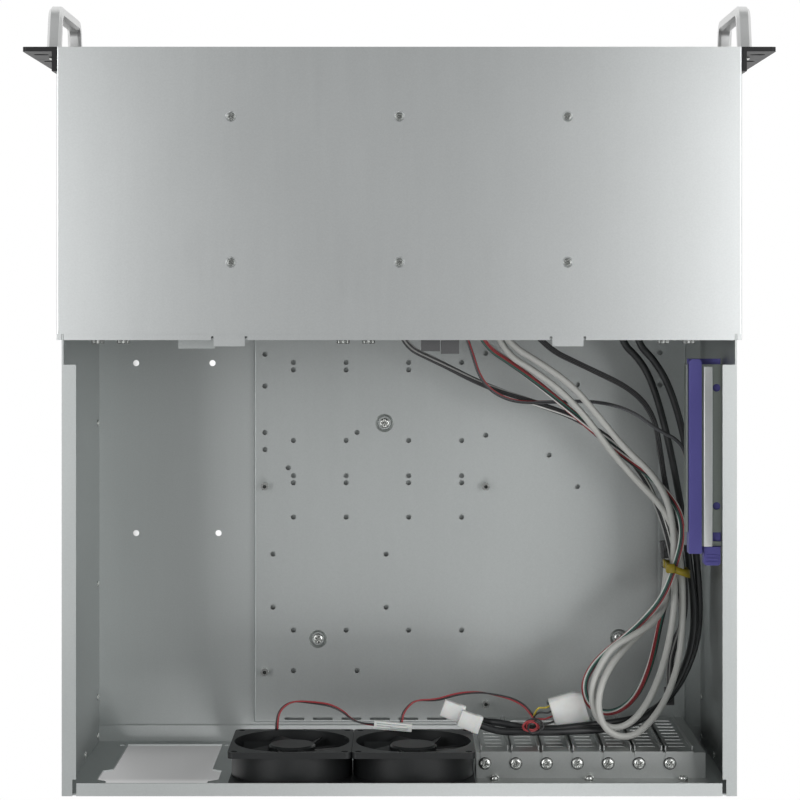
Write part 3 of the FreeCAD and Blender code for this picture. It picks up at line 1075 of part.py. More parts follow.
def make_cable_clips():
    """Two plastic clips on the cover's lip."""
    clips = []
    for x, wide, deep in CLIPS:
        clip = box(x - wide / 2, x + wide / 2, Y_HEM, Y_HEM + deep, SEAT_Z - LIP_H, SEAT_Z - LIP_H + CLIP_H)
        slot = box(x - wide / 2 + 1.6, x + wide / 2 - 1.6, Y_HEM + 1.6, Y_HEM + deep - 1.6,
                   SEAT_Z - LIP_H - 1, SEAT_Z - LIP_H + CLIP_H - 2)
        clips.append(clip.cut(slot))
    return Part.makeCompound(clips)


# ---------------------------------------------------------------- cords and what is on them
def route_wire(points):
    """Straight runs joined by tangent arcs, with the radii of the arcs."""
    corners = [Vec(*p) for p in points]
    edges = []
    radii = []
    start = corners[0]
    for before, corner, after in zip(corners, corners[1:], corners[2:]):
        back = before - corner
        ahead = after - corner
        half_turn = (math.pi - back.getAngle(ahead)) / 2
        cut = BEND_SHARE * min(back.Length, ahead.Length)
        back.normalize()
        ahead.normalize()
        radius = cut / math.tan(half_turn)
        inward = (back + ahead).normalize()
        middle = corner + inward * (radius / math.cos(half_turn) - radius)
        entry = corner + back * cut
        leave = corner + ahead * cut
        edges.append(Part.LineSegment(start, entry).toShape())
        edges.append(Part.Arc(entry, middle, leave).toShape())
        radii.append(radius)
        start = leave
    edges.append(Part.LineSegment(start, corners[-1]).toShape())
    return Part.Wire(edges), radii


def make_cord(name):
    """Round tube along a cord's route."""
    diameter, points = CORDS[name]
    wire, radii = route_wire(points)
    first = Vec(*points[1]) - Vec(*points[0])
    circle = Part.Wire([Part.makeCircle(diameter / 2, Vec(*points[0]), first)])
    tube = wire.makePipeShell([circle], True, False, 2)
    share = tube.Volume / (math.pi * diameter ** 2 / 4 * wire.Length)
    print("%s: length %.0f, volume over section times length %.4f, radii %s"
          % (name, wire.Length, share, " ".join("%.1f" % r for r in radii)))
    return tube


def block_on(centre, ahead, size):
    """Block round a centre, its length along a level direction: length, width and height."""
    length, wide, high = size
    block = Part.makeBox(length, wide, high, Vec(-length / 2, -wide / 2, -high / 2))
    block.rotate(Vec(0, 0, 0), Vec(0, 0, 1), math.degrees(math.atan2(ahead[1], ahead[0])))
    block.translate(Vec(*centre))
    return block


def end_plug(name, length, wide, high):
    """Block that carries on from the far end of a cord."""
    points = CORDS[name][1]
    end = Vec(*points[-1])
    ahead = end - Vec(*points[-2])
    ahead.z = 0
    ahead.normalize()
    return block_on(end + ahead * (length / 2), ahead, (length, wide, high))


def make_harness_plugs():
    """Plugs on the far ends of the front panel's cords."""
    plugs = []
    for name in ("usb_lead_1", "usb_lead_2", "panel_ribbon", "panel_wires", "thin_lead", "black_lead_1"):
        side = CORDS[name][0] + 2 * PLUG_RIM
        plugs.append(end_plug(name, PLUG_L, side, side))
    return Part.makeCompound(plugs)


def make_fan_connectors():
    """Small white connectors that the two long black leads end in."""
    return Part.makeCompound([end_plug(name, *FAN_PLUG) for name in ("black_lead_2", "black_lead_3")])


def make_power_connector():
    """White four-pin connector at the start of the thick lead."""
    points = CORDS["power_lead"][1]
    end = Vec(*points[0])
    ahead = end - Vec(*points[1])
    ahead.z = 0
    ahead.normalize()
    return block_on(end + ahead * (POWER_PLUG[0] / 2), ahead, POWER_PLUG)


def make_cable_tie():
    """Strap round the bundle, with its head."""
    wide, high = TIE_SIZE
    outer = rounded_plate(TIE_X, TIE_Z, wide, high, TIE_CORNER, TIE_AT, TIE_AT + TIE_W)
    inner = rounded_plate(TIE_X, TIE_Z, wide - 2 * TIE_T, high - 2 * TIE_T, TIE_CORNER - TIE_T, TIE_AT - 1,
                          TIE_AT + TIE_W + 1)
    head = box(TIE_X + wide / 2 - TIE_T, TIE_X + wide / 2 + TIE_W - TIE_T, TIE_AT - 0.5, TIE_AT + TIE_W + 0.5,
               TIE_Z - TIE_W / 2, TIE_Z + TIE_W / 2)
    return outer.cut(inner).fuse(head)


# ---------------------------------------------------------------- nodes
save("chassis_tub", make_tub())
save("rear_panel", make_rear_panel())
save("slot_bracket", make_slot_bracket())
for number, screw_x in enumerate(slot_screw_xs(), 1):
    save("slot_cover_%d" % number, make_slot_cover(screw_x))
save("slot_screws", make_slot_screws())
save("front_cover", make_front_cover())
save("cover_screws", make_cover_screws())
save("thumbscrews", make_thumbscrews())
save("front_panel", make_front_panel())
for number in range(BAY_COUNT):
    save("bay_cover_%d" % (number + 1), make_bay_cover(number))
save("drive_cage", make_drive_cage())
save("side_post", make_side_post())
for name, side in (("left", 1), ("right", -1)):
    save("rack_ear_" + name, make_rack_ear(side))
    save("handle_" + name, make_handle(side))
save("motherboard_tray", make_tray())
save("tray_screws", make_tray_screws())
save("standoffs", make_standoffs())
for number, fan_x in enumerate(FAN_X, 1):
    save("rear_fan_%d_frame" % number, make_fan_frame(fan_x, FAN_Z, FAN_Y, FAN, FAN_D, FAN_HOLE, 1))
    save("rear_fan_%d_impeller" % number, make_impeller(fan_x, FAN_Z, FAN_Y, FAN, FAN_D, 1))
save("front_fan_frame", make_fan_frame(FRONT_FAN_X, FRONT_FAN_Z, FACE_Y, FRONT_FAN, FAN_D, FRONT_FAN_HOLE, -1))
save("front_fan_impeller", make_impeller(FRONT_FAN_X, FRONT_FAN_Z, FACE_Y, FRONT_FAN, FAN_D, -1))
save("front_board", make_front_board())
save("indicator_lights", make_leds())
save("power_button", make_button(POWER_Z, POWER_R))
save("reset_button", make_button(RESET_Z, RESET_R))
save("rail_holder", make_rail_holder())
save("drive_rail", make_drive_rail())
save("cable_clips", make_cable_clips())
for name in CORDS:
    save(name, make_cord(name))
save("harness_plugs", make_harness_plugs())
save("fan_connectors", make_fan_connectors())
save("joint_connector", end_plug("fan_lead_1", *JOINT_PLUG))
save("power_connector", make_power_connector())
save("cable_tie", make_cable_tie())
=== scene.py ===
"""Looks of the empty 4U rackmount server case: finishes, cables, connectors and small fasteners.

Metres, +Z up, the rack-ear front faces -Y. The rear lid is off, so the case is seen from above.
"""
import bpy
import json
import math
import numpy as np
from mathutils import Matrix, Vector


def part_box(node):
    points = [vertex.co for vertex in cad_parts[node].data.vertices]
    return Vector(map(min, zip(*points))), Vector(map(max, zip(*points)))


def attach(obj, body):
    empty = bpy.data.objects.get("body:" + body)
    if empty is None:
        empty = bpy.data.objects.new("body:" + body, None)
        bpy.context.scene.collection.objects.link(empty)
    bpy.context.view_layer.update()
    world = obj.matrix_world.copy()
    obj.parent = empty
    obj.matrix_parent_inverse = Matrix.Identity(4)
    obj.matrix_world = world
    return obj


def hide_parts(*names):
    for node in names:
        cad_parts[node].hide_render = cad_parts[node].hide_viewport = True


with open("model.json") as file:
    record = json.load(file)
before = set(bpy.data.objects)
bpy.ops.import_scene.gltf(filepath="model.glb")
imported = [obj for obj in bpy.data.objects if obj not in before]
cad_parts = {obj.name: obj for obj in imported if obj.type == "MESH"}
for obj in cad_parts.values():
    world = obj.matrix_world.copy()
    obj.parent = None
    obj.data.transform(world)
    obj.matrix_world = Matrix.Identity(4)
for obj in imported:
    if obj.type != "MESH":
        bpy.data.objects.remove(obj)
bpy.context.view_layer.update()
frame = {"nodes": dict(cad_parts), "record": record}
nodes = frame["nodes"]

# ---------------------------------------------------------------- cord routes, from exit to far end
ROUTES = {
    "usb_lead_1": [
        (-.018, -.2224, .0945), (-.018, -.182, .0945), (-.032, -.132, .093), (-.052, -.084, .088),
        (-.074, -.0475, .083), (-.096, -.0345, .079), (-.118, -.019, .077), (-.1355, .0015, .076),
        (-.1535, .024, .076), (-.171, .0395, .076), (-.183, .0575, .075), (-.188, .081, .073),
        (-.188, .106, .07), (-.189, .1285, .07), (-.186, .1505, .072), (-.1795, .174, .079),
        (-.1695, .1935, .09), (-.1575, .2065, .1), (-.144, .211, .105), (-.1335, .205, .106),
        (-.129, .192, .104), (-.13, .18, .102), (-.1355, .168, .098), (-.1445, .1565, .094),
        (-.159, .15, .088), (-.173, .1435, .078), (-.184, .1315, .064), (-.1875, .116, .0495),
        (-.1855, .102, .0495)],
    "usb_lead_2": [
        (-.026, -.2224, .0885), (-.026, -.182, .0885), (-.04, -.132, .087), (-.058, -.084, .082),
        (-.0695, -.0425, .077), (-.0935, -.028, .073), (-.1125, -.0135, .071), (-.1295, .005, .07),
        (-.145, .0265, .07), (-.1635, .0475, .069), (-.1805, .0645, .068), (-.1905, .0845, .067),
        (-.1935, .1055, .067), (-.195, .1295, .065), (-.194, .152, .068), (-.1905, .173, .075),
        (-.1815, .193, .086), (-.1705, .2055, .098), (-.1595, .2135, .107), (-.1485, .215, .112),
        (-.1375, .2095, .113), (-.1325, .1965, .111), (-.1345, .182, .108), (-.1415, .1695, .1),
        (-.153, .1585, .086), (-.1675, .1495, .068), (-.1795, .1385, .052), (-.1855, .127, .0405),
        (-.1865, .11, .0405)],
    "panel_ribbon": [
        (.01, -.2224, .091), (.01, -.19, .091), (.008, -.142, .08), (.003, -.094, .066),
        (.001, -.0475, .056), (-.028, -.0335, .05), (-.061, -.0165, .046), (-.093, -.006, .046),
        (-.124, .005, .049), (-.15, .022, .054), (-.168, .043, .058), (-.179, .0665, .061),
        (-.1855, .088, .0625), (-.189, .107, .063), (-.1935, .127, .061), (-.196, .147, .057),
        (-.191, .163, .05), (-.188, .178, .044), (-.188, .193, .044)],
    "panel_wires": [
        (-.008, -.2224, .09), (-.008, -.185, .09), (-.022, -.137, .086), (-.042, -.09, .078),
        (-.056, -.0475, .069), (-.0795, -.032, .065), (-.1, -.016, .063), (-.1205, .0015, .061),
        (-.1395, .018, .061), (-.1575, .0325, .062), (-.1765, .0465, .065), (-.192, .0655, .0705),
        (-.194, .0835, .077), (-.1885, .104, .0775), (-.1805, .125, .077), (-.1685, .1405, .074),
        (-.1545, .154, .071), (-.1425, .1635, .069), (-.132, .174, .069), (-.126, .186, .07),
        (-.1285, .1995, .069), (-.1385, .2065, .067), (-.149, .2065, .064), (-.159, .201, .06),
        (-.167, .1915, .056), (-.1735, .1775, .052), (-.1785, .1635, .044), (-.182, .151, .037),
        (-.1865, .136, .034), (-.189, .12, .034)],
    "thin_lead": [
        (.002, -.2224, .0955), (.002, -.188, .0955), (-.01, -.14, .09), (-.03, -.094, .078),
        (-.0485, -.046, .062), (-.057, -.0185, .054), (-.078, -.0055, .05), (-.108, -.0065, .052),
        (-.136, -.0075, .062), (-.1585, -.002, .074), (-.1755, .011, .082), (-.1925, .0195, .08),
        (-.1985, .038, .07), (-.1995, .06, .058), (-.2, .081, .058)],
    "black_lead_1": [
        (-.033, -.2224, .092), (-.033, -.186, .092), (-.048, -.138, .082), (-.068, -.092, .07),
        (-.097, -.046, .06), (-.1305, -.03, .056), (-.161, -.0155, .056), (-.176, .0025, .057),
        (-.18, .0265, .058), (-.184, .053, .058), (-.191, .0785, .057), (-.1955, .104, .057),
        (-.1985, .1265, .055), (-.1975, .1465, .051), (-.192, .159, .042), (-.19, .173, .036),
        (-.19, .188, .036)],
    "black_lead_2": [
        (-.152, -.2138, .04), (-.152, -.18, .04), (-.152, -.132, .048), (-.149, -.092, .056),
        (-.1515, -.0495, .06), (-.1665, -.0355, .06), (-.175, -.0185, .06), (-.1825, .0065, .058),
        (-.189, .0335, .054), (-.194, .059, .051), (-.1985, .084, .05), (-.2015, .109, .05),
        (-.2045, .134, .052), (-.203, .158, .058), (-.1955, .1775, .066), (-.1855, .192, .075),
        (-.1715, .204, .084), (-.1545, .211, .091), (-.1365, .2125, .097), (-.1185, .2125, .101),
        (-.101, .213, .103), (-.0835, .2125, .104), (-.073, .213, .102), (-.0635, .2123, .1),
        (-.0545, .209, .1)],
    "black_lead_3": [
        (-.163, -.2138, .046), (-.163, -.18, .046), (-.16, -.132, .056), (-.159, -.092, .064),
        (-.1625, -.0485, .067), (-.1745, -.0365, .067), (-.1845, -.0205, .066), (-.1935, .006, .063),
        (-.2, .035, .058), (-.2035, .0615, .054), (-.205, .0895, .051), (-.2075, .1145, .049),
        (-.209, .1375, .047), (-.207, .161, .048), (-.1985, .1805, .055), (-.1875, .195, .064),
        (-.173, .2045, .074), (-.155, .209, .083), (-.1365, .21, .089), (-.1185, .211, .094),
        (-.101, .2125, .0955), (-.0835, .2115, .096), (-.067, .208, .094), (-.056, .2084, .09),
        (-.0433, .2037, .09)],
    "fan_lead_1": [
        (.0832, .2138, .0892), (.0832, .206, .0892), (.08, .1993, .087), (.0725, .1952, .084),
        (.057, .197, .082), (.0465, .1985, .083), (.0375, .2025, .087), (.033, .2063, .092),
        (.0255, .2086, .095), (.0173, .2093, .095)],
    "fan_lead_2": [
        (-.001, .2138, .0889), (-.001, .206, .0889), (-.0045, .1995, .087), (-.011, .1945, .084),
        (-.025, .1955, .081), (-.0385, .1915, .079), (-.0535, .19, .079), (-.0675, .192, .081),
        (-.078, .1943, .0845), (-.087, .1995, .086), (-.0915, .207, .086)],
}
# diameter, length, far end, stiffness and lay of each
CORD_FACTS = {
    "usb_lead_1": (.0046, .683, "connector", "medium", "hanging"),
    "usb_lead_2": (.0046, .689, "connector", "medium", "hanging"),
    "panel_ribbon": (.0044, .530, "connector", "limp", "hanging"),
    "panel_wires": (.0044, .645, "connector", "limp", "hanging"),
    "thin_lead": (.0026, .436, "connector", "limp", "hanging"),
    "black_lead_1": (.004, .480, "connector", "medium", "hanging"),
    "black_lead_2": (.005, .566, "connector", "medium", "hanging"),
    "black_lead_3": (.005, .586, "connector", "medium", "hanging"),
    "fan_lead_1": (.0024, .085, "connector", "limp", "hanging"),
    "fan_lead_2": (.0024, .106, "object", "limp", "hanging"),
}
WHITE, GREY, BLACK = (.86, .86, .83), (.38, .38, .37), (.028, .028, .03)
RED, GREEN, YELLOW = (.40, .028, .035), (.018, .14, .10), (.72, .58, .05)
SLATE = (.075, .078, .085)
# colours of the single wires: two turn about each other; of more, the first is the middle one
STRANDS = {
    "panel_ribbon": [BLACK, BLACK, GREY, BLACK, BLACK, WHITE, BLACK, BLACK, BLACK, GREY],
    "panel_wires": [BLACK, RED, WHITE, GREEN, BLACK, RED, WHITE, BLACK, GREEN, RED],
    "thin_lead": [BLACK, RED, SLATE, SLATE, BLACK, SLATE],
    "black_lead_1": [BLACK] * 9,
    "fan_lead_1": [RED, BLACK],
    "fan_lead_2": [RED, BLACK],
}


# ---------------------------------------------------------------- shapes
def unit(v):
    """Vectors of an array divided by their lengths."""
    return v / np.linalg.norm(v, axis=-1, keepdims=True)


def make(name, parts, material, body="case", smooth=True):
    """One object from parts of (points, faces); each part's faces count from its own first point."""
    points, faces, start = [], [], 0
    for co, polygons in parts:
        co = np.asarray(co, float).reshape(-1, 3)
        points.append(co)
        faces += [[int(i) + start for i in polygon] for polygon in polygons]
        start += len(co)
    mesh = bpy.data.meshes.new(name)
    mesh.from_pydata(np.concatenate(points).tolist(), [], faces)
    mesh.polygons.foreach_set("use_smooth", [smooth] * len(mesh.polygons))
    mesh.materials.append(material)
    piece = bpy.data.objects.new(name, mesh)
    bpy.context.scene.collection.objects.link(piece)
    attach(piece, body)
    return piece


def skin(rings):
    """Closed skin over rings of points (ring, point, xyz): quads between them, and a lid at each end."""
    count, sides = rings.shape[:2]
    row, col = np.meshgrid(np.arange(count - 1), np.arange(sides), indexing="ij")
    after = (col + 1) % sides
    quads = np.stack([row * sides + col, row * sides + after, (row + 1) * sides + after,
                      (row + 1) * sides + col], -1).reshape(-1, 4)
    lids = [list(range(sides))[::-1], list(range((count - 1) * sides, count * sides))]
    return rings.reshape(-1, 3), quads.tolist() + lids


def across(axis):
    """Two unit vectors square to an axis and to each other, so that first x second runs along it."""
    axis = unit(np.asarray(axis, float))
    start = np.array([1.0, 0, 0]) if abs(axis[0]) < 0.9 else np.array([0, 1.0, 0])
    first = unit(start - axis * start.dot(axis))
    return first, np.cross(axis, first), axis


def turned(profile, centre, axis, sides=32, flutes=0, depth=0.0):
    """Profile of (radius, height) turned about an axis; the radius waves by depth, flutes times a turn."""
    first, second, along = across(axis)
    angle = np.linspace(0, 2 * np.pi, sides, endpoint=False)
    radius, height = np.asarray(profile, float).T
    reach = radius[:, None] * (1 + depth * np.cos(flutes * angle)[None])
    ring = np.cos(angle)[:, None] * first + np.sin(angle)[:, None] * second
    return skin(np.asarray(centre) + reach[..., None] * ring + height[:, None, None] * along)


def loft(outline, centre, axes, steps):
    """Outline of (u, v) points carried along w; each step (w, inset) draws it in by its inset."""
    u, v, w = (np.asarray(a, float) for a in axes)
    outline = np.asarray(outline, float)
    reach = np.linalg.norm(outline, axis=1, keepdims=True)
    rings = [outline * (1 - inset / reach) for _, inset in steps]
    rings = [r[:, :1] * u + r[:, 1:] * v + place * w for r, (place, _) in zip(rings, steps)]
    return skin(np.asarray(centre) + np.stack(rings))


def rounded(wide, high, corner, count=4):
    """Outline of a rectangle with arcs for corners, counter-clockwise."""
    turn = np.linspace(0, np.pi / 2, count)
    middles = np.array([[1, 1], [-1, 1], [-1, -1], [1, -1]]) * [wide / 2 - corner, high / 2 - corner]
    arcs = [np.stack([np.cos(turn + k * np.pi / 2), np.sin(turn + k * np.pi / 2)], -1) * corner + middles[k]
            for k in range(4)]
    return np.concatenate(arcs)


# cross recess of a screw, in shares of the head's radius: an arm's half width, flank, reach and end slope
ARM_WIDE, ARM_FLANK, ARM_REACH, ARM_SLOPE = 0.15, 0.06, 0.62, 0.18


def pan_head(centre, axis, radius, height, spin=0.4):
    """Screw head: height falls as a flat dome, and four tapered arms of a cross are pressed into it.

    The recess is the larger of two bars square to each other, deepest in the middle.
    """
    first, second, along = across(axis)
    share = np.array([0.04, .12, .2, .28, .36, .44, .52, .6, .7, .8, .88, .94, .98, 1.0, 1.0])
    angle = np.linspace(0, 2 * np.pi, 48, endpoint=False)
    x, y = share[:, None] * np.cos(angle + spin), share[:, None] * np.sin(angle + spin)
    bars = [np.clip((ARM_WIDE - abs(a)) / ARM_FLANK, 0, 1) * np.clip((ARM_REACH - abs(b)) / ARM_SLOPE, 0, 1)
            for a, b in ((x, y), (y, x))]
    dome = height * (0.35 + 0.65 * np.sqrt(1 - np.minimum(share, 0.995) ** 3))[:, None]
    level = dome - 0.75 * height * np.maximum(*bars)
    level[-1] = 0
    ring = np.cos(angle)[:, None] * first + np.sin(angle)[:, None] * second
    rings = np.asarray(centre) + radius * share[:, None, None] * ring + level[..., None] * along
    return skin(rings[::-1])


def frames(path):
    """Level side vector and the one square to it, at each point of a path."""
    path = np.asarray(path, float)
    ahead = unit(np.gradient(path, axis=0))
    side = unit(np.cross(ahead, [0.0, 0, 1]))
    return path, side, np.cross(side, ahead)


def tube(path, radius, sides=10):
    """Round tube along a path: at each point a circle in the plane of the two side vectors.

    It takes the cosine of the first less the sine of the second, which turns its faces outward.
    """
    path, side, other = frames(path)
    angle = np.linspace(0, 2 * np.pi, sides, endpoint=False)
    circle = np.cos(angle)[:, None, None] * side - np.sin(angle)[:, None, None] * other
    return skin(np.swapaxes(path[None] + radius * circle, 0, 1))


# turn of the wires in radians for each metre of cord, and a slow wander to either side of it
PAIR_TWIST, BUNDLE_TWIST = 60.0, 14.0
WANDER_TURN, WANDER_RATE = 0.5, 23.0


def lay_strands(path, count, diameter):
    """Lines of single wires about a path, and their radius: two side by side, or one in a touching ring.

    A ring of n touching wires has its middles at the wire's radius over the sine of a half turn over n, so
    that reach and the wire's radius fill half the diameter. Each middle goes round the path by the twist
    times the distance run, plus a small sine of that distance.
    """
    path, side, other = frames(path)
    run = np.concatenate([[0], np.cumsum(np.linalg.norm(np.diff(path, axis=0), axis=1))])
    ring = count if count == 2 else count - 1
    radius = diameter / 2 / (1 + 1 / math.sin(math.pi / ring))
    reach, twist = diameter / 2 - radius, PAIR_TWIST if count == 2 else BUNDLE_TWIST
    lines = [path] * (count - ring)
    for share in np.linspace(0, 2 * np.pi, ring, endpoint=False):
        turn = (share + twist * run + WANDER_TURN * np.sin(run * WANDER_RATE))[:, None]
        lines.append(path + reach * (np.cos(turn) * side + np.sin(turn) * other))
    return lines, radius


def arc_through(points, count=24):
    """Smooth line through points: each coordinate as a cubic through them, over the distance run."""
    points = np.asarray(points, float)
    run = np.concatenate([[0], np.cumsum(np.linalg.norm(np.diff(points, axis=0), axis=1))])
    power = np.stack([run ** k for k in range(len(points))], -1)
    factors = np.linalg.solve(power, points)
    at = np.linspace(0, run[-1], count)
    return np.stack([at ** k for k in range(len(points))], -1) @ factors


# ---------------------------------------------------------------- shader graphs
class Value:
    """A socket of a shader graph. Arithmetic on it adds Math nodes."""

    def __init__(self, graph, socket):
        self.graph, self.socket = graph, socket

    def __add__(self, other):
        return self.graph.maths("ADD", self, other)

    def __sub__(self, other):
        return self.graph.maths("SUBTRACT", self, other)

    def __rsub__(self, other):
        return self.graph.maths("SUBTRACT", other, self)

    def __mul__(self, other):
        return self.graph.maths("MULTIPLY", self, other)

    def __gt__(self, other):
        return self.graph.maths("GREATER_THAN", self, other)

    __radd__ = __add__
    __rmul__ = __mul__


class Graph:
    """Nodes of one material or of the world."""

    def __init__(self, owner):
        owner.use_nodes = True
        self.tree = owner.node_tree

    def node(self, kind, settings=None, sockets=None, out=0):
        """Add a node: first its settings, then the values or links of its sockets."""
        made = self.tree.nodes.new("ShaderNode" + kind)
        for key, value in (settings or {}).items():
            if key == "stops":
                self.set_stops(made.color_ramp, value)
            else:
                setattr(made, key, value)
        for key, value in (sockets or {}).items():
            self.feed(made.inputs[key], value)
        return Value(self, made.outputs[out])

    def set_stops(self, ramp, stops):
        """Colour stops of a ramp, as (place, level)."""
        while len(ramp.elements) < len(stops):
            ramp.elements.new(0.5)
        for element, (place, level) in zip(ramp.elements, stops):
            element.position, element.color = place, (level, level, level, 1)

    def feed(self, socket, value):
        """Link a value to a socket, or write a constant there."""
        if isinstance(value, Value):
            self.tree.links.new(value.socket, socket)
        elif isinstance(value, tuple) and socket.type == "RGBA":
            socket.default_value = (*value, 1.0)
        else:
            socket.default_value = value

    def maths(self, operation, first, second=0.0):
        return self.node("Math", {"operation": operation}, {0: first, 1: second})

    def blend(self, factor, first, second):
        """Colour that goes from first to second."""
        return self.node("Mix", {"data_type": "RGBA"}, {0: factor, 6: first, 7: second}, out=2)

    def place(self, scale=(1, 1, 1), turn=(0, 0, 0)):
        """Object coordinates, scaled and turned."""
        spot = self.node("TexCoord", out=3)
        return self.node("Mapping", None, {"Vector": spot, "Scale": scale, "Rotation": turn})

    def noise(self, scale, detail=2.0, at=None, rough=0.5):
        return self.node("TexNoise", None, {"Vector": at or self.place(), "Scale": scale,
                                            "Detail": detail, "Roughness": rough})

    def ramp(self, value, low, high):
        """0 below low, 1 above high, and straight between."""
        return self.node("MapRange", {"clamp": True}, {0: value, 1: low, 2: high})

    def bump(self, height, strength, distance):
        return self.node("Bump", None, {"Height": height, "Strength": strength, "Distance": distance})


class Finish(Graph):
    """A material: constants on its shader's own sockets, and patterns linked to a few of them."""

    def __init__(self, name, **constants):
        self.material = bpy.data.materials.new(name)
        super().__init__(self.material)
        self.shader = self.tree.nodes["Principled BSDF"]
        self.set(**{key.replace("_", " "): value for key, value in constants.items()})

    def set(self, **sockets):
        for key, value in sockets.items():
            self.feed(self.shader.inputs[key.replace("_", " ")], value)


def zinc(name, tone, shine, cloud=0.03, edge=0.6):
    """Zinc-coated sheet: soft clouds, fine rolling grain, faint rub marks; satin, a little uneven."""
    f = Finish(name, Metallic=1.0, IOR=1.5, Specular_Tint=(edge, edge, edge))
    clouds = f.noise(9.0, 3.0)
    grain = f.noise(260.0, 2.0, f.place((1.0, 0.06, 1.0)))
    speckle = f.noise(900.0, 1.0)
    marks = f.ramp(f.noise(34.0, 5.0, f.place((1.0, 0.22, 1.0)), 0.7), 0.60, 0.74)
    level = clouds * cloud + grain * 0.02 + speckle * 0.08 + (1 - cloud / 2 - 0.05)
    dark = tuple(c * 0.86 for c in tone)
    bright = tuple(min(c * 1.08, 1) for c in tone)
    f.set(Base_Color=f.blend(f.ramp(level, 0.9, 1.1), dark, bright),
          Roughness=clouds * 0.03 + grain * 0.02 + marks * -0.015 + (shine - 0.02),
          Normal=f.bump(grain * 0.3 + speckle * 0.7, 0.12, 0.00004))
    return f.material


def plated(name, tone, shine):
    """Bright plated steel of screws: small turning marks and dull spots."""
    f = Finish(name, Metallic=1.0)
    spots = f.noise(700.0, 3.0)
    dull = f.ramp(spots, 0.45, 0.7)
    f.set(Base_Color=f.blend(dull, tone, tuple(c * 0.72 for c in tone)),
          Roughness=dull * 0.12 + shine, Normal=f.bump(spots, 0.1, 0.00005))
    return f.material


def moulded(name, tone, shine, grain=420.0, change=0.25, depth=0.25):
    """Moulded plastic: fine spark-eroded grain, with slightly polished high spots."""
    f = Finish(name, IOR=1.42)
    fine = f.noise(grain * 4, 2.0)
    wide = f.noise(24.0, 3.0)
    pale = tuple(min(c * (1 + change) + 0.004, 1) for c in tone)
    f.set(Base_Color=f.blend(f.ramp(wide * 0.6 + fine * 0.4, 0.35, 0.65), tone, pale),
          Roughness=wide * 0.1 + fine * 0.08 + (shine - 0.09), Normal=f.bump(fine, depth, 0.00008))
    return f.material


def powder(name, tone, shine):
    """Powder coat: orange-peel waves about a millimetre wide, and paint rubbed thin in spots."""
    f = Finish(name, IOR=1.42)
    peel = f.noise(900.0, 2.0)
    worn = f.ramp(f.noise(60.0, 4.0), 0.66, 0.8)
    bare = tuple(c * 1.7 for c in tone)
    f.set(Base_Color=f.blend(worn, tone, bare), Roughness=peel * 0.1 + worn * 0.08 + shine,
          Normal=f.bump(peel, 0.3, 0.0001))
    return f.material


def satin_bar(name, tone, shine):
    """Satin aluminium: fine brushed lines along the bar, and a slightly uneven film."""
    f = Finish(name, Metallic=0.75)
    lines = f.noise(1500.0, 2.0, f.place((1.0, 1.0, 0.03)))
    film = f.noise(30.0, 3.0)
    f.set(Base_Color=f.blend(f.ramp(film, 0.3, 0.7), tuple(c * 0.94 for c in tone), tone),
          Roughness=lines * 0.08 + film * 0.06 + (shine - 0.07), Normal=f.bump(lines, 0.15, 0.00004))
    return f.material


def jacket(name, tone, shine, change=0.12):
    """Cable jacket: soft vinyl with a drawn surface, faint dust and slightly duller stretches."""
    f = Finish(name, IOR=1.52)
    drawn = f.noise(500.0, 2.0)
    dust = f.ramp(f.noise(90.0, 4.0), 0.5, 0.75)
    dusty = tuple(min(c * (1 + change) + 0.012, 1) for c in tone)
    f.set(Base_Color=f.blend(dust * 0.6 + drawn * 0.2, tone, dusty),
          Roughness=dust * 0.14 + drawn * 0.06 + shine, Normal=f.bump(drawn, 0.15, 0.0001))
    return f.material


def wires(name):
    """Thin insulated wires, each in the colour that its points carry."""
    f = Finish(name, IOR=1.52)
    own = f.node("Attribute", {"attribute_name": "insulation"})
    drawn = f.noise(900.0, 2.0)
    shade = f.blend(drawn * 0.25, own, (0.16, 0.16, 0.16))
    f.set(Base_Color=shade, Roughness=drawn * 0.12 + 0.3, Normal=f.bump(drawn, 0.1, 0.00005))
    return f.material


def nylon(name, tone):
    """Natural nylon: milky, faintly see-through white with a soft mottled gloss."""
    f = Finish(name, IOR=1.53, Subsurface_Weight=0.15, Subsurface_Scale=0.002)
    milk = f.noise(160.0, 3.0)
    f.set(Base_Color=f.blend(f.ramp(milk, 0.35, 0.7), tone, tuple(c * 0.93 for c in tone)),
          Roughness=milk * 0.14 + 0.3, Normal=f.bump(milk, 0.12, 0.0001))
    return f.material


def laminate(name):
    """Green circuit board: fine traces in steps, over glass weave."""
    f = Finish(name, IOR=1.55, Roughness=0.35)
    spot = f.place()
    weave = f.node("TexWave", {"bands_direction": "Z"}, {"Vector": spot, "Scale": 260.0})
    tracks = f.noise(110.0, 1.0, f.place((1.0, 1.0, 0.4))) > 0.56
    f.set(Base_Color=f.blend(tracks, (.02, .10, .055), (.035, .17, .09)),
          Normal=f.bump(weave, 0.06, 0.00005))
    return f.material


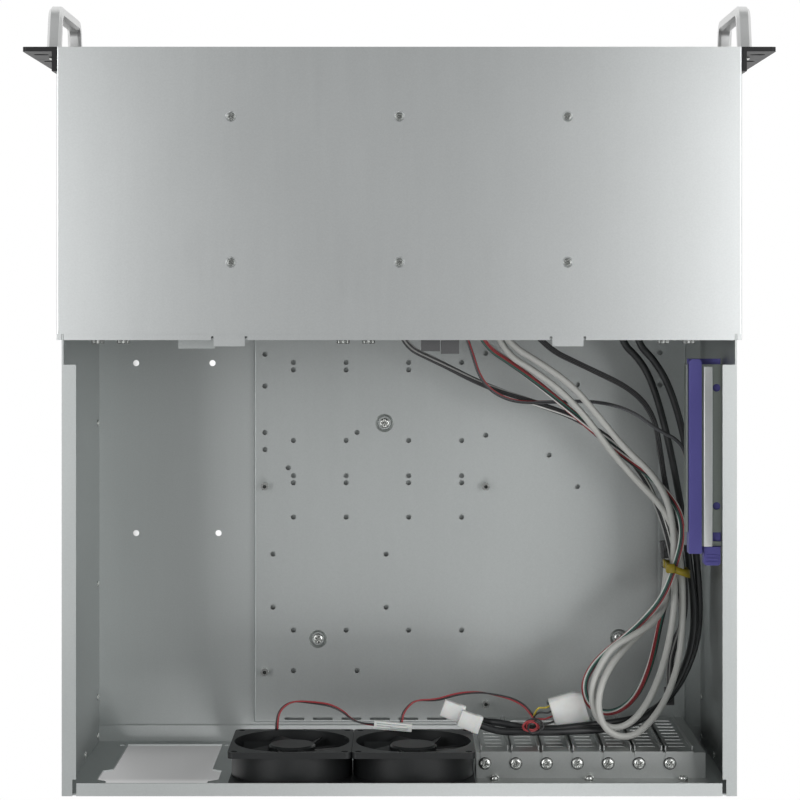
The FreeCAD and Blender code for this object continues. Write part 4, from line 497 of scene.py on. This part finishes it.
GALVANISED = zinc("galvanised_sheet", (.60, .625, .62), .40)
# lighter copies of the galvanised sheet for the front cover and the rear panel: painted light on the parts
# in the open, where the tub's sheet reads darker in its shade
LIT_COVER_STEEL = zinc("cover_sheet_lit_copy", (.77, .79, .79), .37)
LIT_REAR_STEEL = zinc("rear_sheet_lit_copy", (.66, .685, .68), .40)
SLOT_STEEL = zinc("bright_sheet", (.66, .675, .665), .36)
SCREW_STEEL = plated("plated_screw", (.66, .67, .65), .22)
DULL_STEEL = plated("dull_screw", (.30, .31, .30), .38)
HOLDER_STEEL = zinc("holder_sheet", (.40, .43, .40), .44)
BLACK_PAINT = powder("black_powder_coat", (.011, .011, .012), .42)
HANDLE_SILVER = satin_bar("satin_handle", (.86, .865, .86), .40)
BLACK_PLASTIC = moulded("black_plastic", (.009, .010, .0105), .45)
DARK_PLASTIC = moulded("dark_plastic", (.07, .07, .072), .5)
BOARD = laminate("circuit_board")
LENS = moulded("clear_lens", (.72, .78, .70), .16, depth=0.03, change=0.05)
PURPLE = moulded("purple_plastic", (.115, .105, .36), .42, change=0.12)
GREY_CABLE = jacket("grey_jacket", (.50, .50, .475), .36)
BLACK_CABLE = jacket("black_jacket", (.014, .015, .016), .34, change=0.8)
WIRES = wires("coloured_wires")
NYLON = nylon("white_nylon", (.84, .85, .83))
YELLOW_TIE = moulded("yellow_plastic", (.25, .19, .012), .35)

FINISH_OF_SLOT = {
    "galvanised": GALVANISED, "slot_steel": SLOT_STEEL, "screw_steel": SCREW_STEEL,
    "black_paint": BLACK_PAINT, "handle_silver": HANDLE_SILVER, "black_plastic": BLACK_PLASTIC,
    "dark_plastic": DARK_PLASTIC, "board": BOARD, "lamp": LENS, "purple_plastic": PURPLE,
    "grey_cable": GREY_CABLE, "black_cable": BLACK_CABLE, "wire_mix": WIRES, "red_wire": WIRES,
    "white_nylon": NYLON, "yellow_tie": YELLOW_TIE,
}
SLOT_OF_NODE = {part["node"]: part["material_slot"] for part in frame["record"]["subparts"]}

# ---------------------------------------------------------------- camera
camera = bpy.data.objects.new("camera", bpy.data.cameras.new("camera"))
bpy.context.scene.collection.objects.link(camera)
camera.location = (-.003, -.0862, 1.660)
camera.rotation_euler = (0, 0, math.pi)
camera.data.sensor_width = 36
camera.data.lens = 104.27
camera.data.shift_x = -.005
camera.data.shift_y = -.14125
bpy.context.scene.camera = camera


def route_curve(name, bevel):
    """Free cord's line: one open spline with the route's points as its control points."""
    curve = bpy.data.curves.new(name, "CURVE")
    curve.dimensions = "3D"
    spline = curve.splines.new("NURBS")
    spline.points.add(len(ROUTES[name]) - 1)
    spline.points.foreach_set("co", [v for p in ROUTES[name] for v in (*p, 1.0)])
    spline.order_u = 3
    spline.use_endpoint_u = True
    spline.resolution_u = 12
    curve.bevel_depth = bevel
    curve.bevel_resolution = 4
    curve.use_fill_caps = True
    return bpy.data.objects.new(name + ".cord", curve)


def route_line(name):
    """Points along a route's own smooth line."""
    plain = route_curve(name, 0)
    bpy.context.scene.collection.objects.link(plain)
    mesh = bpy.data.meshes.new_from_object(plain)
    line = np.zeros(len(mesh.vertices) * 3)
    mesh.vertices.foreach_get("co", line)
    bpy.data.objects.remove(plain)
    return line.reshape(-1, 3)


def strand_object(name, lines, colours, radius, sides=8):
    """Tubes of single wires in one piece, each with its own colour on its points."""
    parts = [tube(line, radius, sides) for line in lines]
    piece = make(name, parts, WIRES)
    shades = np.concatenate([np.tile([*colour, 1.0], (len(points), 1))
                             for colour, (points, _) in zip(colours, parts)])
    layer = piece.data.color_attributes.new("insulation", "FLOAT_COLOR", "POINT")
    layer.data.foreach_set("color", shades.ravel())
    return piece


for name, (diameter, length, far_end, stiffness, lay) in CORD_FACTS.items():
    if name in STRANDS:
        line = route_line(name)
        lines, radius = lay_strands(line, len(STRANDS[name]), diameter)
        cord = strand_object(name + ".wires", lines, STRANDS[name], radius)
    else:
        cord = route_curve(name, diameter / 2)
        cord.data.materials.append(FINISH_OF_SLOT[SLOT_OF_NODE[name]])
        bpy.context.scene.collection.objects.link(cord)
        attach(cord, "case")
    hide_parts(name)


# ---------------------------------------------------------------- pieces on the cords
def heading(name):
    """Place of a cord's far end, and the level direction in which the cord runs out of it."""
    before, tip = np.array(ROUTES[name][-2:])
    return tip, unit((tip - before) * [1, 1, 0])


def plug_parts(tip, ahead, length, wide, high, ways):
    """Moulded connector: a shell with rounded edges and a collar; with ways, a rib over each and a latch."""
    side = np.cross([0, 0, 1.0], ahead)
    axes = (side, (0, 0, 1), ahead)
    shell = rounded(wide, high, min(wide, high) * 0.12, 3)
    steps = [(0, wide * .05), (.0004, 0), (length * .30, 0), (length * .31, wide * .03),
             (length - .0004, wide * .03), (length, wide * .06)]
    parts = [loft(shell, tip, axes, steps)]
    if not ways:
        return parts
    pitch = wide * 0.8 / ways
    for way in range(ways):
        shift = side * (way - (ways - 1) / 2) * pitch
        rib = rounded(pitch * .36, .0009, .0003, 2)
        parts.append(loft(rib, tip + shift + [0, 0, high / 2], axes, [(length * .08, 0), (length * .86, 0)]))
    latch = rounded(wide * .28, .0012, .0004, 2)
    parts.append(loft(latch, tip + [0, 0, high / 2 + .0002], axes, [(length * .45, 0), (length * .9, 0)]))
    return parts


HARNESS = ("usb_lead_1", "usb_lead_2", "panel_ribbon", "panel_wires", "thin_lead", "black_lead_1")
PLUG_LENGTH = .012
PLUG_GROWTH = .0026                   # a harness connector is this much wider than its cord
FAN_PLUG = (.0150, .0122, .0062)      # length, width and height
JOINT_PLUG = (.0257, .0056, .0048)


def plug_on(name, node, slot, size, ways):
    """Connector that carries on from a cord's far end."""
    tip, ahead = heading(name)
    piece = make(name + ".plug", plug_parts(tip, ahead, *size, ways), FINISH_OF_SLOT[slot])
    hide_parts(node)


for name in HARNESS:
    wide = CORD_FACTS[name][0] + PLUG_GROWTH
    plug_on(name, "harness_plugs", "dark_plastic", (PLUG_LENGTH, wide, wide * .8), 2)
for name in ("black_lead_2", "black_lead_3"):
    plug_on(name, "fan_connectors", "white_nylon", FAN_PLUG, 0)
plug_on("fan_lead_1", "joint_connector", "white_nylon", JOINT_PLUG, 3)

# four-pin connector
POWER_TIP = np.array([-.1040, .2052, .086])
POWER_AHEAD = unit(np.array([-.0072, -.0021, 0]))
POWER_SIDE = np.cross([0, 0, 1.0], POWER_AHEAD)
POWER_LONG, POWER_WIDE, POWER_HIGH = .0232, .0235, .0086
POWER_CUT = .0024
POWER_NOSE = .006                     # the last stretch, which narrows
PIN_PITCH = .0051
PIN_RIM = [(.0021, 0), (.0021, .0012), (.0016, .0013), (.0015, .0002), (.0001, .0001)]


def four_pin_parts():
    """Shell whose outline has two cut corners on top, drawn in along its nose, and four round cavities."""
    half_w, half_h = POWER_WIDE / 2, POWER_HIGH / 2
    outline = [(half_w, -half_h), (half_w, half_h - POWER_CUT), (half_w - POWER_CUT, half_h),
               (POWER_CUT - half_w, half_h), (-half_w, half_h - POWER_CUT), (-half_w, -half_h)]
    steps = [(0, .0008), (.0006, 0), (POWER_LONG - POWER_NOSE, 0), (POWER_LONG - .0004, .0022),
             (POWER_LONG, .0027)]
    parts = [loft(outline, POWER_TIP, (POWER_SIDE, (0, 0, 1), POWER_AHEAD), steps)]
    for way in range(4):
        mouth = POWER_TIP + POWER_AHEAD * (POWER_LONG - .0013) + POWER_SIDE * (way - 1.5) * PIN_PITCH
        parts.append(turned(PIN_RIM, mouth, POWER_AHEAD, 20))
    return parts


power_plug = make("power.plug", four_pin_parts(), NYLON)
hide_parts("power_connector")

# short wires of the four-pin connector
SHORT_COLOURS = [RED, BLACK, RED, BLACK, YELLOW]
CURL_COLOURS = [BLACK, RED, RED, BLACK, RED]
SHORT_RADIUS = .00065
SHORT_IN, SHORT_OUT = .0003, .0035    # how far a wire starts inside the shell, and its straight run out
RISE, BEND_RISE = .0020, .0050        # over the connector's middle, at those two places
BEND_STAGGER = .0014                  # every other wire bends this much higher or lower
SHORT_PITCH = .0036                   # between the wires at the connector's back
BEND_PITCH = .0022                    # half way
GATHER_PITCH = .0009                  # and where they meet the fan lead
CURL_PLACE = (-.0888, .2085, .1042)
CURL_WIDE, CURL_NARROWER = .0062, .0007    # half width of the first curl, and what each next one loses
CURL_DEEP, CURL_DEEPER = .0036, .0008      # half depth, and how much that changes from one to the next
CURL_SHIFT = (.0016, .0014)                # of their middles, across and along the case
CURL_RISE, CURL_WAVE = .0011, .0016        # from one to the next, and within each
GATHER = np.array(ROUTES["fan_lead_2"][-1])


def short_wire(way):
    """Wire from the connector's back, over a lifted bend, to where the wires gather."""
    share = POWER_SIDE * (way - 2)
    start = POWER_TIP + share * SHORT_PITCH
    out = start - POWER_AHEAD * SHORT_OUT + [0, 0, RISE]
    bend = (start + GATHER) / 2 + share * BEND_PITCH + [0, 0, BEND_RISE + BEND_STAGGER * (-1) ** way]
    return arc_through([start + POWER_AHEAD * SHORT_IN, out, bend, GATHER + share * GATHER_PITCH], 20)


def curl(k):
    """Curled end of a wire: an ellipse whose height waves once round; each is smaller and higher."""
    angle = np.linspace(0, 2 * np.pi, 30) + k
    x, y, z = CURL_PLACE
    wide, deep = CURL_WIDE - CURL_NARROWER * k, CURL_DEEP + CURL_DEEPER * math.cos(2.3 * k)
    return np.stack([x - CURL_SHIFT[0] * math.cos(2.0 * k) + wide * np.cos(angle),
                     y + CURL_SHIFT[1] * math.sin(3.0 * k) + deep * np.sin(angle),
                     z + CURL_RISE * k + CURL_WAVE * np.sin(angle + k)], -1)


short_lines = [short_wire(way) for way in range(5)] + [curl(k) for k in range(5)]
power_wires = strand_object("power.wires", short_lines, SHORT_COLOURS + CURL_COLOURS, SHORT_RADIUS)
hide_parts("power_lead")


# ---------------------------------------------------------------- cable tie
TIE_MIDDLE = np.array([-.1900, .1070, .0690])
TIE_WIDE, TIE_HIGH, TIE_CORNER = .0170, .0320, .008
TIE_BAND, TIE_THICK = .0050, .0011
TIE_LEAN = -.35                       # run along Y for each step across
TIE_HEAD_WIDE, TIE_HEAD_CORNER = .0062, .0010
TIE_HEAD_AT = (.0058, -.0018, .0135)
TIE_HEAD_STEPS = [(0, .0004), (.0004, 0), (.0030, 0), (.0034, .0004)]
LEVEL_AXES = ((1, 0, 0), (0, 1, 0), (0, 0, 1))


def tie_strap():
    """Strap round the bundle.

    Each point (u, v) of a rounded rectangle gives a ring of four corners: the outer and inner skin at both
    edges of the band. The ring moves along Y by the lean times u.
    """
    outer = rounded(TIE_WIDE, TIE_HIGH, TIE_CORNER, 8)
    outer = np.concatenate([outer, outer[:1]])
    inner = outer - unit(outer * [1, .6]) * TIE_THICK
    corners = np.stack([outer, outer, inner, inner], 1)
    along = outer[:, :1] * TIE_LEAN + np.array([-1, 1, 1, -1]) * TIE_BAND / 2
    return skin(TIE_MIDDLE + np.stack([corners[..., 0], along, corners[..., 1]], -1))


tie_head = loft(rounded(TIE_HEAD_WIDE, TIE_HEAD_WIDE, TIE_HEAD_CORNER, 3), TIE_MIDDLE + TIE_HEAD_AT,
                LEVEL_AXES, TIE_HEAD_STEPS)
cable_tie = make("cable.tie", [tie_strap(), tie_head], YELLOW_TIE)
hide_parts("cable_tie")

# ---------------------------------------------------------------- rolled bead along the rail holder's step, in bright handle aluminium: a painted highlight
BEAD_X, BEAD_WIDE, BEAD_HIGH = -.2034, .0058, .0012
BEAD_LIFT = .0004                     # its middle over the holder's top
BEAD_IN = .001                        # from each end of the holder
BEAD_AXES = ((-1, 0, 0), (0, 0, 1), (0, 1, 0))
holder_low, holder_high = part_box("rail_holder")
bead_length = holder_high[1] - holder_low[1] - 2 * BEAD_IN
bead_steps = [(0, .0002), (.0003, 0), (bead_length - .0003, 0), (bead_length, .0002)]
bead = loft(rounded(BEAD_WIDE, BEAD_HIGH, BEAD_HIGH / 2, 6),
            (BEAD_X, holder_low[1] + BEAD_IN, holder_high[2] + BEAD_LIFT), BEAD_AXES, bead_steps)
# the bead has the rounded shape of the holder's strip, and its bright satin aluminium is a painted highlight
# on that strip
highlight_bead = make("holder.bead", [bead], HANDLE_SILVER)

# ---------------------------------------------------------------- screws and rivets
UP, BACK, FORWARD = (0, 0, 1), (0, 1, 0), (0, -1, 0)
# radius and height of each kind of head
SLOT_HEAD = (.0037, .0021)
UPSTAND_HEAD = (.0031, .0030)
TRAY_HEAD = (.0038, .0026)
COVER_HEAD = (.0027, .0009)
THUMB_HEAD = (.0021, .0006)
EAR_HEAD = (.0029, .0016)
HANDLE_HEAD = (.0034, .0020)
REAR_FAN_HEAD = (.0019, .0010)
FRONT_FAN_HEAD = (.0036, .0022)
# profiles of (radius, height)
WASHER = [(.0041, 0), (.0041, .0004), (.0038, .0005)]
RIVET = [(.0024, 0), (.0023, .0005), (.0016, .0010), (.0004, .0012)]
THUMB_KNOB = [(.0034, 0), (.0040, .0003), (.0040, .0021), (.0036, .0025), (.0026, .0026), (.0024, .0020),
              (.0002, .0020)]
SLOT_SCREW_X = [-.0564 - .02032 * k for k in range(7)]
LEDGE_Y, LEDGE_TOP = .2278, .1328
UPSTAND_X, UPSTAND_Y, UPSTAND_Z = (-.0624, -.1247, -.1865), .2376, .137
TRAY_SCREW_AT = ((.0109, .0109), (.0584, .1651), (-.1565, .1644))
TRAY_DIMPLE_Z = .0036
COVER_SCREW_IN, COVER_SCREW_SUNK = .0032, .0013
THUMB_X = (.1942, .1778, .0362, .0198, -.1702, -.1866)
HEM_Y, THUMB_Z, THUMB_LENGTH = -.0522, .1665, .0019
RIVET_AT = ((.0106, .0106), (.1252, .0106), (.2057, .0106), (.2335, .0106), (.2335, .0760))
MIDDLE_Z = .0885
EAR_LEG_X, EAR_SCREW_Y, EAR_SCREW_STEP = .2225, -.231, .058
HANDLE_X, EAR_BACK_Y, HANDLE_STEP = .2266, -.237, .050
REAR_FAN_HALF, GRILLE_Y = .03575, .2386
FRONT_FAN_HALF, FRONT_Y = .0525, -.240
wall_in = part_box("rear_panel")[1][0]


def middle_of(node):
    """Middle of a node's box."""
    return np.mean(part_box(node), axis=0)


slot_heads = [pan_head((x, LEDGE_Y, LEDGE_TOP), UP, *SLOT_HEAD, .3 + 1.1 * k)
              for k, x in enumerate(SLOT_SCREW_X)]
slot_heads += [pan_head((x, UPSTAND_Y, UPSTAND_Z), FORWARD, *UPSTAND_HEAD, .7 * k)
               for k, x in enumerate(UPSTAND_X)]
slot_screws = make("slot.screws", slot_heads, SCREW_STEEL)
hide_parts("slot_screws")

# black rings under the slot screws' heads: painted shade for the dark rim round each head
rings = [turned(WASHER, (x, LEDGE_Y, LEDGE_TOP - .0001), UP, 28) for x in SLOT_SCREW_X]
shade_rim_washers = make("slot.washers", rings, BLACK_PAINT)

tray_heads = [pan_head((x, y, TRAY_DIMPLE_Z), UP, *TRAY_HEAD, .5 * k)
              for k, (x, y) in enumerate(TRAY_SCREW_AT)]
tray_screws = make("tray.screws", tray_heads, SCREW_STEEL)
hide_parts("tray_screws")

# countersunk screws of the cover: flat heads with a cross, down in their dimples
low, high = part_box("cover_screws")
cover_x = np.linspace(low[0] + COVER_SCREW_IN, high[0] - COVER_SCREW_IN, 3)
cover_y = (low[1] + COVER_SCREW_IN, high[1] - COVER_SCREW_IN)
cover_heads = [pan_head((x, y, high[2] - COVER_SCREW_SUNK), UP, *COVER_HEAD, .9 * k + y * 9)
               for k, x in enumerate(cover_x) for y in cover_y]
cover_screws = make("cover.screws", cover_heads, DULL_STEEL)
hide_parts("cover_screws")

# knurled thumbscrews under the cover's hem
thumb_parts = []
for k, x in enumerate(THUMB_X):
    thumb_parts.append(turned(THUMB_KNOB, (x, HEM_Y, THUMB_Z), BACK, 72, 18, .035))
    thumb_parts.append(pan_head((x, HEM_Y + THUMB_LENGTH, THUMB_Z), BACK, *THUMB_HEAD, k))
thumbscrews = make("thumb.screws", thumb_parts, DULL_STEEL, smooth=False)
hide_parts("thumbscrews")

# small fasteners that only show here: rivets inside the walls, screws of handles, ears and fans
small, ear_heads = [], []
for side in (-1, 1):
    for y, z in RIVET_AT:
        small.append(turned(RIVET, (side * wall_in, y, z), (-side, 0, 0), 20))
    for k in (-1, 0, 1):
        place = (side * EAR_LEG_X, EAR_SCREW_Y, MIDDLE_Z + k * EAR_SCREW_STEP)
        ear_heads.append(pan_head(place, (side, 0, 0), *EAR_HEAD, k))
    for k in (-1, 1):
        place = (side * HANDLE_X, EAR_BACK_Y, MIDDLE_Z + k * HANDLE_STEP)
        small.append(pan_head(place, BACK, *HANDLE_HEAD, k))
CORNERS = [(a, b) for a in (-1, 1) for b in (-1, 1)]
for fan in ("rear_fan_1_frame", "rear_fan_2_frame"):
    hub = middle_of(fan)
    for a, b in CORNERS:
        place = (hub[0] + a * REAR_FAN_HALF, GRILLE_Y, hub[2] + b * REAR_FAN_HALF)
        small.append(pan_head(place, BACK, *REAR_FAN_HEAD, a + 2 * b))
small_screws = make("small.fasteners", small, SCREW_STEEL)
ear_screws = make("ear.screws", ear_heads, BLACK_PAINT)

hub = middle_of("front_fan_frame")
front_heads = [pan_head((hub[0] + a * FRONT_FAN_HALF, FRONT_Y, hub[2] + b * FRONT_FAN_HALF), FORWARD,
                        *FRONT_FAN_HEAD, a + 2 * b) for a, b in CORNERS]
front_screws = make("front.fan.screws", front_heads, BLACK_PAINT)

# ---------------------------------------------------------------- finishes of the frame's own nodes
# the front cover and the rear panel take the lighter copies of the galvanised sheet, which are painted light
SHEET_OF_NODE = {"front_cover": LIT_COVER_STEEL, "rear_panel": LIT_REAR_STEEL, "rail_holder": HOLDER_STEEL}
for name, node in nodes.items():
    finish = SHEET_OF_NODE.get(name, FINISH_OF_SLOT[SLOT_OF_NODE[name]])
    for slot in node.material_slots:
        slot.material = finish

# ---------------------------------------------------------------- floor, backdrop and light
# the floor shows its own white outside the object and well inside its outline; in the band between, it shows
# its mid grey instead, painted shade where the contact shadow falls, and it takes the rendered shadows there
# too
SIDE_EDGE = (.219, .240)
REAR_EDGE = (.266, .279)
FRONT_EDGE = (-.236, -.256)
INSIDE_X, INSIDE_Y = (.186, .196), (.190, .200)
MATT_GREY = (.50, .50, .50)
FLOOR_HALF = 6.0
floor_paint = bpy.data.materials.new("studio_floor")
floor = Graph(floor_paint)
floor.tree.nodes.remove(floor.tree.nodes["Principled BSDF"])
output = floor.tree.nodes["Material Output"]
camera_ray, glossy_ray, through_ray = [floor.node("LightPath", out=k) for k in (0, 3, 6)]
spread = floor.tree.nodes.new("ShaderNodeSeparateXYZ")
floor.feed(spread.inputs[0], floor.place())
floor_x, floor_y = Value(floor, spread.outputs[0]), Value(floor, spread.outputs[1])
from_x, from_y = floor.maths("ABSOLUTE", floor_x), floor.maths("ABSOLUTE", floor_y)
past_ends = floor.maths("MAXIMUM", floor.ramp(floor_y, *REAR_EDGE), floor.ramp(floor_y, *FRONT_EDGE))
outside = floor.maths("MAXIMUM", floor.ramp(from_x, *SIDE_EDGE), past_ends)
inside = (1 - floor.ramp(from_x, *INSIDE_X)) * (1 - floor.ramp(from_y, *INSIDE_Y))
clear = floor.maths("MAXIMUM", outside, inside)
# 0 in the band next to the case's outline, where the floor's mid grey is painted shade
white_past_shade_band = floor.maths("MINIMUM", camera_ray + glossy_ray + through_ray, 1.0) * clear
matt = floor.node("BsdfDiffuse", None, {"Color": MATT_GREY})
plain = floor.node("Emission", None, {"Color": (1.0, 1.0, 1.0), "Strength": 1.0})
floor.feed(output.inputs["Surface"], floor.node("MixShader", None, {0: white_past_shade_band, 1: matt, 2: plain}))
floor_mesh = bpy.data.meshes.new("studio_floor")
floor_corners = [(a * FLOOR_HALF, b * FLOOR_HALF, 0) for a, b in ((-1, -1), (1, -1), (1, 1), (-1, 1))]
floor_mesh.from_pydata(floor_corners, [], [(0, 1, 2, 3)])
floor_mesh.materials.append(floor_paint)
floor_object = bpy.data.objects.new("studio_floor", floor_mesh)
bpy.context.scene.collection.objects.link(floor_object)

# a grey sky: dim over the middle, and brighter by the gain where a direction's sideways share is full
SKY_DIM, SKY_GAIN = .21, .18
SIDE_FROM, SIDE_FULL = .02, .45
world = bpy.data.worlds.new("studio")
bpy.context.scene.world = world
sky = Graph(world)
background = sky.tree.nodes["Background"]
bearing = sky.tree.nodes.new("ShaderNodeSeparateXYZ")
sky.feed(bearing.inputs[0], sky.node("TexCoord", out=0))
sideways = sky.maths("ABSOLUTE", Value(sky, bearing.outputs[0]))
sky.feed(background.inputs["Strength"], sky.ramp(sideways, SIDE_FROM, SIDE_FULL) * SKY_GAIN + SKY_DIM)
background.inputs["Color"].default_value = (.98, 1.0, 1.0, 1.0)


def softbox(name, place, wide, high, power, aim=(0, 0, .17)):
    """Soft rectangular lamp that looks at a point of the object."""
    lamp = bpy.data.lights.new(name, "AREA")
    lamp.shape, lamp.size, lamp.size_y, lamp.energy = "RECTANGLE", wide, high, power
    stand = bpy.data.objects.new(name, lamp)
    bpy.context.scene.collection.objects.link(stand)
    back = unit(np.array(place) - np.array(aim))
    stand.location = place
    stand.visible_camera = False
    stand.rotation_euler = (0, math.acos(back[2]), math.atan2(back[1], back[0]))


softbox("right_softbox", (-.62, -.05, .85), .5, .75, 3.6)
softbox("left_softbox", (.68, -.05, .85), .5, .75, 3.6)
softbox("rear_softbox", (-.12, .74, .9), .7, .3, 1.6)

scene = bpy.context.scene
scene.view_settings.view_transform = "Standard"
